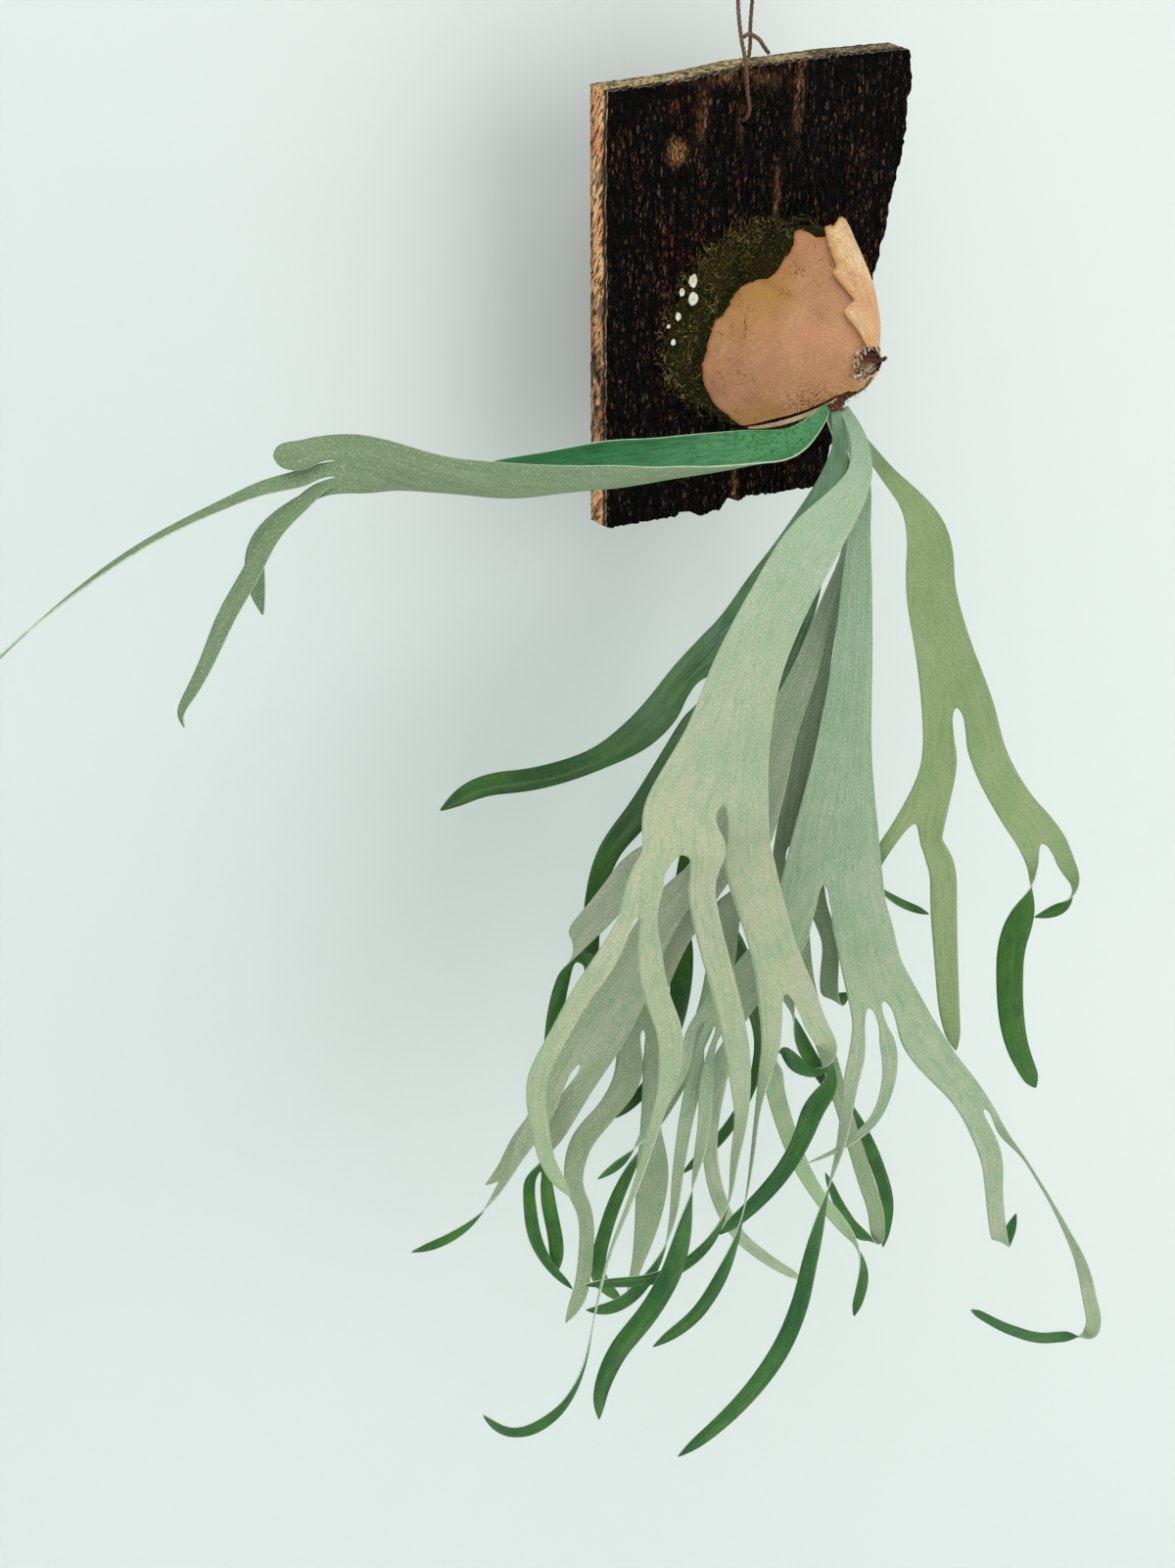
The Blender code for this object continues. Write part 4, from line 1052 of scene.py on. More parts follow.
@dataclass
class MossMound:
    """The moss under the shields: a felted mound, thousands of moss leaves and some fine roots."""

    outline: dict[float, float] = field(default_factory=lambda: {
        0: 45, 30: 46, 45: 52, 60: 68, 80: 78, 97: 78, 110: 82, 119: 85, 132: 90, 144: 93, 159: 96,
        170: 99, 182: 98, 192: 92, 203: 82, 221: 70, 240: 62, 270: 52, 300: 46, 330: 44})
    slab_front: float = 22.3
    under_shield: float = 2.2
    skirt: float = 4.2
    steps: int = 220
    rings: int = 56
    leaves: int = 15000
    # A moss leaf's places along its length and its half widths there, as shares
    leaf: tuple[tuple[float, float], ...] = ((0.0, 0.7), (0.4, 1.0), (0.75, 0.6), (1.0, 0.08))
    roots: int = 150
    root_step: float = 1.5
    root_front: float = -46.0
    points: list[np.ndarray] = field(default_factory=list)
    faces: Faces = field(default_factory=list)
    kinds: list[int] = field(default_factory=list)

    def height(self, angle: float, radius: float, rim: float) -> np.ndarray:
        """A place on the mound's surface.

        Args:
            angle: degrees about the growing point.
            radius: distance from the growing point.
            rim: the outline's distance there.

        Returns:
            The place, in millimetres.
        """
        x, z = from_bud(angle, radius)
        under = dome_height(x, z) - self.under_shield * math.hypot(1.0, math.hypot(*dome_slopes(x, z)))
        low = self.slab_front + 1.0 + self.skirt * (1 - (radius / rim) ** 3)
        bumps = 1.6 * ripple(x / 6, z / 6, 2) + 0.9 * ripple(x / 2.3, z / 2.3, 5)
        shown = float(smooth((radius / rim - 0.45) / 0.2))
        return np.array((x, -max(under, low) - bumps * shown * 0.7, z))

    def rim(self, angle: float) -> float:
        """The mound's ragged outline."""
        waves = 3.4 * ripple(angle / 9, 3.0) + 2.2 * ripple(angle / 2.6, 8.0)
        return look_up(self.outline, angle, 360) * 0.96 + waves - 1.2

    def mound(self, finish: bpy.types.Material) -> bpy.types.Object:
        """Builds the felted mound, closed at the bark.

        Args:
            finish: its material.

        Returns:
            The mound.
        """
        points = []
        angles = np.arange(self.steps) * 360 / self.steps
        for share in [*np.linspace(0.14, 1.0, self.rings), 1.0]:
            for angle in angles:
                rim = self.rim(angle)
                points.append(self.height(angle, rim * share, rim))
        for spot in points[-self.steps:]:
            spot[1] = 0.8 - self.slab_front
        faces = grid_faces(self.rings + 1, self.steps, closed=True)
        faces.append(tuple(range(self.steps))[::-1])
        return make_object("moss_felt", points, faces, [finish])

    def covered(self, angle: float, radius: float) -> bool:
        """Whether a shield hides the place."""
        if 66 < angle < 225:
            return radius < 52
        return radius < (40 if angle > 302 or angle < 66 else 15)

    def sprig(self, chance: np.random.Generator) -> None:
        """Adds one moss leaf: a short bent ribbon that narrows to its tip.

        Args:
            chance: draws where it stands and how it leans.
        """
        angle = chance.uniform(0, 360)
        rim = self.rim(angle)
        radius = rim * math.sqrt(chance.uniform(0.03, 1.16))
        thin = 200 < angle < 330 and chance.uniform() < 0.62
        if thin or self.covered(angle, radius):
            return
        root = self.height(angle, min(radius, rim), rim)
        if radius > rim:
            x, z = from_bud(angle, radius)
            root = np.array((x, -self.slab_front - 1.0, z))
        outward = np.array((math.cos(math.radians(angle)), 0.0, math.sin(math.radians(angle))))
        lean = unit(np.array((0.0, -1.0, 0.0)) * 0.8 + outward * 0.5 + chance.normal(0, 0.65, 3))
        length = chance.uniform(1.6, 4.4)
        bend = chance.normal(0, 0.55, 3)
        width = chance.uniform(0.16, 0.34)
        side = unit(np.cross(lean, chance.normal(0, 1, 3)))
        damp = ripple(root[0] / 12, root[2] / 12, 4) + chance.normal(0, 0.35)
        tone = 0 if damp < -0.15 else 1 if damp < 0.28 else 2
        self.faces += grid_faces(len(self.leaf), 2, start=len(self.points))
        self.kinds += [tone] * (len(self.leaf) - 1)
        for t, half in self.leaf:
            spot = root + lean * length * t + bend * length * t * t
            spot[1] = min(spot[1], 0.2 - self.slab_front)
            self.points += [spot - side * width * half, spot + side * width * half]

    def root_hair(self, chance: np.random.Generator) -> None:
        """Adds one fine wandering root, mostly by the upper rim.

        Args:
            chance: draws where it starts and how it wanders.
        """
        angle = chance.choice((chance.normal(106, 14), chance.normal(122, 22), chance.normal(150, 34),
                               chance.normal(215, 14)))
        rim = self.rim(angle)
        radius = rim * chance.uniform(0.8, 1.1)
        spot = self.height(angle, min(radius, rim), rim) + np.array((0.0, -0.5, 0.0))
        heading = unit(chance.normal(0, 1, 3) * (1.0, 0.25, 1.0))
        path = []
        steps = int(chance.integers(5, 12))
        for _ in range(steps):
            path.append(spot.copy())
            heading = unit(heading + chance.normal(0, 0.33, 3) * (1.0, 0.5, 1.0))
            spot = spot + heading * self.root_step
            spot[1] = min(max(spot[1], self.root_front), -self.slab_front - 0.8)
        radii = tuple(np.linspace(chance.uniform(0.12, 0.26), 0.05, steps))
        tube, tube_faces = thin_tube(np.array(path), radii, len(self.points))
        self.points += tube
        self.faces += tube_faces
        self.kinds += [3] * len(tube_faces)

    def build(self) -> None:
        """Builds the mound and what grows out of it."""
        finishes = [DryMoss("damp_moss_dark", "#1E1A0A", "#3F3814", "#6A5E24").make(),
                    DryMoss("damp_moss_olive", "#3A3412", "#746424", "#A8983E").make(),
                    DryMoss("dried_moss_tips", "#5C4E22", "#A0904A", "#D2C484").make(),
                    DryMoss("fine_roots", "#3A3424", "#77694A", "#A89A78").make()]
        felt = DryMoss("moss_felt_brown", "#0C0D05", "#22230C", "#3B3E14").make()
        place(self.mound(felt), Slot.MOSS, "moss_mound")
        chance = np.random.default_rng(11)
        for _ in range(self.leaves):
            self.sprig(chance)
        for _ in range(self.roots):
            self.root_hair(chance)
        place(make_object("moss_leaves", self.points, self.faces, finishes, None, self.kinds), Slot.MOSS)


# Crown

@dataclass(frozen=True)
class PaperyScales:
    """Fern scales, grown: thin, dry and overlapping, each with its own tone, darker at its root."""

    name: str
    stops: Stops

    def make(self) -> bpy.types.Material:
        """Builds the material.

        Returns:
            The material.
        """
        scales = Surface(self.name, {"Roughness": 0.58, "IOR": 1.45})
        fibres = scales.grain(0.5, 4.0)
        own_tone = scales.node("Attribute", output="Fac", attribute_name="tone")
        tone = scales.node("Math", {0: own_tone, 1: Stretch(fibres, 0.25, 0.75, -0.13, 0.13)},
                           operation="ADD")
        scales.shade = scales.node("ValToRGB", {0: tone}, stops=self.stops)
        return scales.finish(fibres, 0.25, 0.7)


@dataclass
class ScaleCoat:
    """A coat of small overlapping scales, gathered into one mesh."""

    chance: np.random.Generator
    rows: int = 5
    points: list[np.ndarray] = field(default_factory=list)
    faces: Faces = field(default_factory=list)
    tones: list[float] = field(default_factory=list)

    def add(self, root: np.ndarray, heading: np.ndarray, face: np.ndarray, length: float, width: float,
            tone: float, curl: float = 0.25) -> None:
        """Adds one lance-shaped scale.

        Args:
            root: the middle of its base.
            heading: the way it points.
            face: the way that its outer face looks.
            length: from base to tip.
            width: at its widest.
            tone: its place on the colour ramp.
            curl: how far its tip turns away from what it lies on, as a share of the length.
        """
        side = unit(np.cross(heading, face))
        self.faces += grid_faces(self.rows, 3, start=len(self.points))
        for t in np.linspace(0, 1, self.rows):
            half = width / 2 * (0.72 + 0.9 * t - 1.55 * t * t) if t < 1 else 0.03 * width
            middle = root + heading * length * t + face * curl * length * t * t
            dish = -0.28 * half
            for across in (-1.0, 0.0, 1.0):
                wobble = self.chance.normal(0, 0.03 * width, 3)
                self.points.append(middle + side * half * across + face * dish * abs(across) + wobble)
                self.tones.append(tone + 0.10 * t + 0.05 * abs(across))

    def add_drawn(self, root: np.ndarray, heading: np.ndarray, away: np.ndarray,
                  tones: tuple[tuple[float, ...], ...], lengths: tuple[float, float],
                  widths: tuple[float, float]) -> None:
        """Adds a scale whose tone and size are drawn by chance.

        Args:
            root: the middle of its base.
            heading: the way it points.
            away: straight out of what it grows on.
            tones: the tones and each one's share.
            lengths: the least and greatest length.
            widths: the least and greatest width.
        """
        tone = self.chance.choice(tones[0], p=tones[1])
        self.add(root, heading, unit(away - heading * np.dot(away, heading) + 0.001),
                 self.chance.uniform(*lengths), self.chance.uniform(*widths), tone)

    def add_core(self, rings: list[np.ndarray], tone: float) -> None:
        """Adds a closed body of rings under the scales.

        Args:
            rings: the points of each ring.
            tone: its place on the colour ramp.
        """
        columns = len(rings[0])
        self.faces += closed_tube(len(rings), columns, len(self.points))
        self.points.extend(point for ring in rings for point in ring)
        self.tones += [tone] * (len(rings) * columns)

    def make(self, name: str, finish: bpy.types.Material) -> bpy.types.Object:
        """Makes the coat's object."""
        return make_object(name, self.points, self.faces, [finish], {"tone": self.tones})


@dataclass
class Crown:
    """The growing bud in the shields' opening, and the scaly end of the rhizome below them."""

    bud_radius: float = 7.4
    bud_base: float = -98.0
    bud_length: float = 22.0
    bud_rings: int = 20
    bud_columns: int = 24
    bud_scales: int = 130
    spiral: float = 2.39996             # the golden angle, from one scale to the next
    tip_scales: int = 9
    shreds: int = 120
    rhizome: tuple[Point, ...] = (
        (35.5, -88.4, -29), (32, -88, -36), (28, -90, -43), (25, -92, -50), (24, -93.5, -56))
    rhizome_radius: float = 8.7
    rhizome_columns: int = 36
    rhizome_scales: int = 1150
    # Tones of the torn scales, of the rhizome's side and of its end, each with its share of them
    shred_tones: tuple[tuple[float, ...], ...] = (
        (0.93, 0.8, 0.62, 0.42, 0.16), (0.2, 0.22, 0.22, 0.2, 0.16))
    side_tones: tuple[tuple[float, ...], ...] = ((0.1, 0.3, 0.5, 0.7, 0.85), (0.24, 0.3, 0.26, 0.14, 0.06))
    end_tones: tuple[tuple[float, ...], ...] = ((0.1, 0.35, 0.6, 0.8), (0.25, 0.3, 0.3, 0.15))

    def bud_spot(self, t: float) -> np.ndarray:
        """A place on the bud's own line, at a share of its length."""
        return np.array((BUD[0], self.bud_base - self.bud_length * t, BUD[1]))

    def bud(self, finish: bpy.types.Material) -> bpy.types.Object:
        """Builds the bud: an egg with scales laid towards a dark pointed tip.

        Args:
            finish: its material.

        Returns:
            The bud.
        """
        coat = ScaleCoat(np.random.default_rng(3))
        chance = coat.chance
        turns = np.arange(self.bud_columns) * TURN / self.bud_columns
        rings = []
        for t in np.linspace(0.02, 0.98, self.bud_rings):
            radius = self.bud_radius * math.sqrt(1 - (2 * t - 1) ** 2) * (0.96 - 0.16 * t)
            x, y, z = self.bud_spot(t)
            rings.append(np.stack([x + radius * np.cos(turns), np.full(self.bud_columns, y),
                                   z + radius * np.sin(turns)], axis=1))
        coat.add_core(rings, 0.3)
        for number in range(self.bud_scales):
            t = 0.35 + 0.6 * number / self.bud_scales
            turn = number * self.spiral
            radius = self.bud_radius * math.sqrt(1 - (2 * t - 1) ** 2) * 0.96
            out = np.array((math.cos(turn), 0.0, math.sin(turn)))
            slope = (2 * t - 1) * 0.9
            heading = unit(np.array((0.0, -1.0, 0.0)) - out * slope + chance.normal(0, 0.10, 3))
            face = unit(out - heading * np.dot(out, heading))
            # The tip is dark red brown to the upper right, and the lower left scales are bleached.
            bleached = max(0.0, -math.cos(turn - 0.9))
            tone = 0.36 + 0.6 * bleached * chance.uniform(0.1, 1.0) - 0.3 * t * (1 - bleached)
            coat.add(self.bud_spot(t) + out * radius, heading, face, chance.uniform(3.4, 6.2),
                     chance.uniform(1.6, 3.2), tone, chance.uniform(-0.06, 0.22))
        for number in range(self.tip_scales):
            turn = number * TURN / self.tip_scales
            out = np.array((math.cos(turn), 0.0, math.sin(turn)))
            root = self.bud_spot(0.93) + np.array((1.2, 0.0, 1.0)) + out * 1.6
            coat.add(root, unit(np.array((0.5, -1.0, 0.5)) - out * 0.15), out, 6.4, 2.6, 0.22, 0.1)
        return coat.make("bud_scales", finish)

    def torn(self, finish: bpy.types.Material) -> bpy.types.Object:
        """Builds the torn, bleached scales that lie on the shields round the bud.

        Args:
            finish: their material.

        Returns:
            The scales.
        """
        coat = ScaleCoat(np.random.default_rng(8))
        chance = coat.chance
        for _ in range(self.shreds):
            angle = chance.normal(205, 58)
            radius = chance.uniform(7.0, 10.5) + 3.5 * hill((angle, 200, 40)) * chance.uniform()
            root = dome_point(angle, radius, chance.uniform(0.9, 3.0))
            ahead = dome_point(angle + chance.uniform(-60, 60), radius - chance.uniform(-2.5, 5.0), 2.8)
            face = unit(dome_point(angle, radius, 3.0) - dome_point(angle, radius, 1.0))
            tone = chance.choice(self.shred_tones[0], p=self.shred_tones[1])
            coat.add(root, unit(ahead - root), face, chance.uniform(1.8, 4.6), chance.uniform(0.6, 1.7),
                     tone, chance.uniform(-0.05, 0.22))
        return coat.make("torn_scales", finish)

    def rhizome_end(self, finish: bpy.types.Material) -> bpy.types.Object:
        """Builds the rhizome: a creeping stem in a rough coat of rust-brown scales.

        Args:
            finish: its material.

        Returns:
            The rhizome.
        """
        coat = ScaleCoat(np.random.default_rng(21))
        chance = coat.chance
        line = curve_through(self.rhizome, 1.2)
        across, out = side_frames(line)
        swell = np.interp(np.linspace(0, 1, len(line)), np.linspace(0, 1, 5), (0.6, 1, 1, 1, 0.9))
        radii = swell * (self.rhizome_radius - 0.7)
        turns = np.arange(self.rhizome_columns) * TURN / self.rhizome_columns
        rings = []
        for spot, side, up, radius in zip(line, across, out, radii):
            rough = np.array([1 + 0.07 * ripple(spot[2] / 2, t * 2.0, 3) for t in turns])
            rings.append(spot + radius * rough[:, None] * (np.cos(turns)[:, None] * side
                                                          + np.sin(turns)[:, None] * up))
        end, heading, last = line[-1], unit(line[-1] - line[-2]), rings[-1]
        for share in (0.93, 0.75, 0.4, 0.08):
            rings.append(end + heading * (1.6 * (1 - share ** 2)) + (last - end) * share)
        coat.add_core(rings, 0.12)
        for _ in range(self.rhizome_scales):
            i = int(chance.integers(int(len(line) * 0.3), len(line)))
            turn = chance.uniform(0, TURN)
            away = math.cos(turn) * across[i] + math.sin(turn) * out[i]
            down = unit(line[min(i + 1, len(line) - 1)] - line[i - 1])
            point = unit(down + away * chance.uniform(0.1, 0.9) + chance.normal(0, 0.35, 3))
            coat.add_drawn(line[i] + away * radii[i], point, away, self.side_tones, (1.2, 2.8), (0.5, 1.1))
        for _ in range(self.rhizome_scales // 3):
            turn, reach = chance.uniform(0, TURN), math.sqrt(chance.uniform(0, 1)) * radii[-1]
            away = math.cos(turn) * across[-1] + math.sin(turn) * out[-1]
            point = unit(heading + away * 0.6 + chance.normal(0, 0.45, 3))
            root = end + away * reach + heading * 1.2
            coat.add_drawn(root, point, away, self.end_tones, (1.0, 2.0), (0.4, 0.9))
        return coat.make("rhizome_scale_coat", finish)

    def build(self) -> None:
        """Builds the bud, the torn scales about it and the rhizome."""
        papery = PaperyScales("bud_scales_papery", (
            (0.0, "#2A0F0A"), (0.25, "#552A1A"), (0.5, "#8F5F40"), (0.75, "#C09A7A"),
            (1.0, "#E2D2BE"))).make()
        rusty = PaperyScales("rhizome_scales_rusty", (
            (0.0, "#2C180C"), (0.3, "#693516"), (0.55, "#A05A26"), (0.8, "#B98A4C"),
            (1.0, "#C9B48A"))).make()
        place(self.bud(papery), Slot.SCALES, "growth_bud")
        place(self.torn(papery), Slot.SCALES)
        place(self.rhizome_end(rusty), Slot.SCALES, "rhizome")


# Fungi

@dataclass(frozen=True)
class FungusFlesh:
    """Small moss fungi, fresh: cream and a little waxy, with fine ribs on the cap and stem."""

    def make(self) -> bpy.types.Material:
        """Builds the material.

        Returns:
            The material.
        """
        flesh = Surface("fresh_fungus_flesh", {"Roughness": 0.48, "IOR": 1.42})
        clouds = flesh.grain(1.6, 2.0)
        flesh.shade = flesh.node("ValToRGB", {0: clouds}, stops=(
            (0.3, "#D2C6A6"), (0.5, "#EDE8DA"), (0.75, "#FBFAF4")))
        flesh.lay("#B49C70", flesh.node("Attribute", output="Fac", attribute_name="rim"))
        return flesh.finish(clouds, 0.15, 0.5)


@dataclass
class Mushrooms:
    """Six small fungi that grow out of the moss, each in the place of its CAD node."""

    # for each fungus: how far its cap leans to the left and up, how deep its cup is, and its squash
    shapes: tuple[tuple[float, float, float, float], ...] = (
        (0.25, 0.55, 0.95, 1.3), (-0.35, -0.35, 0.5, 1.1), (0.35, 0.65, 0.15, 1.2),
        (-0.9, -1.3, 0.2, 1.5), (-0.5, 0.35, 0.4, 0.9), (0.1, -0.4, 0.1, 1.1))
    bulge: float = 1.12             # how much wider than its CAD node a cap is
    columns: int = 28
    ribs: int = 14

    def fungus(self, number: int, finish: bpy.types.Material) -> bpy.types.Object:
        """Builds one fungus.

        Args:
            number: its node's number, from 1.
            finish: its material.

        Returns:
            The fungus.
        """
        low, high = (np.array(corner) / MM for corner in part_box(f"mushroom_{number}"))
        lean_x, lean_z, cup, squash = self.shapes[number - 1]
        foot = np.array(((low[0] + high[0]) / 2, high[1], (low[2] + high[2]) / 2))
        cap = self.bulge * (high[0] - low[0]) / 2
        tall = high[1] - low[1]
        stem = tall - 0.45 * cap
        # radius in caps, then height in stems and caps, then how brown: up the stem, out under the cap,
        # round its rim and over the top
        profile = ((0.34, 0.0, 0.0, 0.9), (0.27, 0.25, 0.0, 0.5), (0.25, 0.6, 0.0, 0.2),
                   (0.27, 0.85, 0.0, 0.1), (0.5, 0.97, 0.0, 0.25), (0.85, 1.0, 0.0, 0.35),
                   (0.97, 1.0, 0.05, 0.3), (1.0, 1.0, 0.14, 0.1),
                   (0.93, 1.0, 0.3, 0.0), (0.72, 1.0, 0.42 - 0.25 * cup, 0.0),
                   (0.45, 1.0, 0.46 - 0.65 * cup, 0.1), (0.2, 1.0, 0.46 - 0.85 * cup, 0.25 * cup),
                   (0.04, 1.0, 0.46 - 0.9 * cup, 0.4 * cup))
        points, rims = [], []
        for radius, stems, caps, brown in profile:
            height = stems * stem + caps * cap
            share = height / tall
            for turn in np.arange(self.columns) * TURN / self.columns:
                x, z = math.cos(turn), math.sin(turn)
                wave = 1 + 0.34 * ripple(x * 1.1, z * 1.1, number * 3.1) * share
                reach = radius * cap * wave * (1 + 0.03 * math.cos(turn * self.ribs) * (share > 0.4))
                spot = foot + (x * reach + lean_x * cap * share ** 2, -height,
                               z * reach * squash + lean_z * cap * share ** 2)
                spot[1] -= 0.12 * cap * ripple(x, z, number) * share
                points.append(spot)
                rims.append(brown)
        faces = [f[::-1] for f in closed_tube(len(profile), self.columns)]
        made = make_object(f"moss_fungus_{number}", points, faces, [finish], {"rim": rims})
        modify(made, "smooth", "SUBSURF", levels=1, render_levels=1)
        return made

    def build(self) -> None:
        """Builds the six fungi."""
        finish = FungusFlesh().make()
        for number in range(1, len(self.shapes) + 1):
            place(self.fungus(number, finish), Slot.FUNGUS, f"mushroom_{number}")


# Fertile fronds

class Lobe(NamedTuple):
    """A stretch of blade up to where it forks.

    A station is x, y, z and width in millimetres, then turn and channel in degrees.  The turn rolls
    the blade about its own line: 0 shows the underside to the room, 180 the upper face.  The channel
    is the angle through which the blade curves from edge to edge.
    """

    stations: np.ndarray
    share: float
    forks: tuple[Lobe, ...]


def lobe(stations: list[tuple[float, ...]], share: float = 1.0, *forks: Lobe) -> Lobe:
    """A lobe from stations that may leave out a turn or channel that stays as it was.

    Args:
        stations: its stations.
        share: its share of the width of the lobe that it leaves.
        forks: the lobes that it forks into.

    Returns:
        The lobe.
    """
    rows, kept = [], (0.0, 15.0)
    for station in stations:
        rows.append((*station, *kept[len(station) - 4:]))
        kept = rows[-1][4:]
    return Lobe(np.array(rows, float), share, forks)


@dataclass(frozen=True)
class BladeTint:
    """A frond's colours, the first two from its stalk to its tips.

    A staghorn's blade is leathery and green, under a felt of star-shaped hairs.  The felt is thick
    and silvery on the underside, and thin or rubbed off on the upper face.
    """

    under: tuple[str, str, str]
    upper: tuple[str, str, str]
    seed: float = 0.0
    worn: str = "#86A883"       # where the felt is thin
    silver: str = "#C6C5AE"     # bands of thicker felt
    tufts: str = "#DDE2D2"      # single tufts that catch the light
    fresh: str = "#4B7A2F"      # younger, yellower patches of the upper face
    bloom: str = "#86A06A"      # thin felt left on the upper face
    wet: bool = False           # whether drops have darkened the felt near the crown


@dataclass(frozen=True)
class BladeFinish:
    """Fern leaf, grown: felted underside or leathery upper face."""

    side: Side
    tint: BladeTint
    vein_mm: float = 1.1        # spacing of the fine veins that run along the blade
    vein_run_mm: float = 46.0
    felt_mm: float = 0.8        # tufts of star hairs, drawn coarser than the real 0.3 mm so they show
    mottle_mm: float = 11.0
    drop_mm: float = 2.6

    def make(self, name: str) -> bpy.types.Material:
        """Builds the material.

        Args:
            name: the frond's name.

        Returns:
            The material.
        """
        felted = self.side is Side.UNDER
        tint, seed = self.tint, self.tint.seed
        vein, run, mottle = self.vein_mm, self.vein_run_mm, self.mottle_mm
        leaf = Surface(f"{name}_{self.side.value}", {
            "Roughness": 0.85 if felted else 0.58, "Specular IOR Level": 0.2 if felted else 0.3,
            "IOR": 1.45, "Sheen Weight": 0.06 if felted else 0.0, "Sheen Roughness": 0.5})
        strand = leaf.node("Attribute", output="Vector", attribute_name="strand")
        age = leaf.node("SeparateXYZ", {0: strand}, "Z")
        colours = tint.under if felted else tint.upper
        leaf.shade = leaf.node("ValToRGB", {0: age}, stops=tuple(zip((0.0, 0.42, 1.0), colours)))
        veins = leaf.grain((vein, run, ENDLESS_MM), 4.0, seed, strand)
        bands = leaf.grain((vein * 7, run * 2.2, ENDLESS_MM), 3.0, seed + 7, strand)
        clouds = leaf.grain(mottle * 3, 3.0, seed + 3)
        blotches = leaf.grain((mottle * 0.3, mottle * 1.4, ENDLESS_MM), 6.0, seed + 11, strand)
        felt = leaf.grain(self.felt_mm, 3.0, seed)
        if felted:
            # Felt is silvery, and the green shows through where it is thin, worn or wet.
            leaf.lay(tint.worn, Stretch(clouds, 0.42, 0.62, 0.0, 0.4))
            leaf.lay(tint.silver, Stretch(bands, 0.45, 0.66, 0.0, 0.42))
            leaf.lay(tint.worn, Stretch(veins, 0.52, 0.64, 0.0, 0.5))
            leaf.lay(tint.worn, Stretch(blotches, 0.54, 0.64, 0.0, 0.55))
            leaf.lay("#6F8E68", Stretch(felt, 0.3, 0.46, 0.55, 0.0))
            leaf.lay(tint.tufts, Stretch(felt, 0.55, 0.68, 0.0, 0.62))
            height = leaf.node("Math", {0: Stretch(veins, 0.3, 0.7), 1: Stretch(felt, 0.3, 0.7)},
                               operation="ADD")
            return leaf.finish(height, 0.3, 0.6)
        # The thin felt leaves a greyish bloom, and the leaf is glossier and darker under it.
        leaf.lay(tint.fresh, Stretch(clouds, 0.42, 0.62, 0.0, 0.5))
        leaf.lay("#1E4A22", Stretch(veins, 0.5, 0.66, 0.0, 0.5))
        leaf.lay(tint.bloom, Stretch(bands, 0.5, 0.7, 0.0, 0.25))
        leaf.lay("#234C20", Stretch(blotches, 0.5, 0.62, 0.0, 0.35))
        leaf.lay("#9CB692", Stretch(felt, 0.58, 0.7, 0.0, 0.3))
        if tint.wet:
            # Drops lie thickly up to 100 mm from the crown, thinly up to 200 mm, and then stop
            drops = leaf.grain(self.drop_mm, 4.0, 2.0)
            along = leaf.node("SeparateXYZ", {0: strand}, "Y")
            wetness = leaf.node("Math", {0: Stretch(along, 0.07, 0.12, 1.0, 0.25),
                                         1: Stretch(along, 0.16, 0.22, 0.9, 0.0)}, operation="MULTIPLY")
            leaf.lay("#2A7A28", leaf.node("Math", {0: Stretch(drops, 0.55, 0.58), 1: wetness},
                                          operation="MULTIPLY"))
        return leaf.finish(Stretch(veins, 0.3, 0.7), 0.3, 0.6)


@dataclass(frozen=True)
class BladeEdgeHighlight:
    """The cut-like rim of a blade, where the felt of both faces meets: pale partly from the felt's own
    colour and partly as a painted highlight for the bright outline that light through the thin leaf gives.
    """

    def make(self) -> bpy.types.Material:
        """Builds the material.

        Returns:
            The material.
        """
        edge = Surface("blade_edge_painted_highlight", {"Roughness": 0.7})
        # A pale ramp: the felt's colour with a painted highlight along the rim
        edge.shade = edge.node("ValToRGB", {0: edge.grain(1.5)}, stops=((0.3, "#A9BC98"), (0.7, "#DCE4CF")))
        return edge.finish()


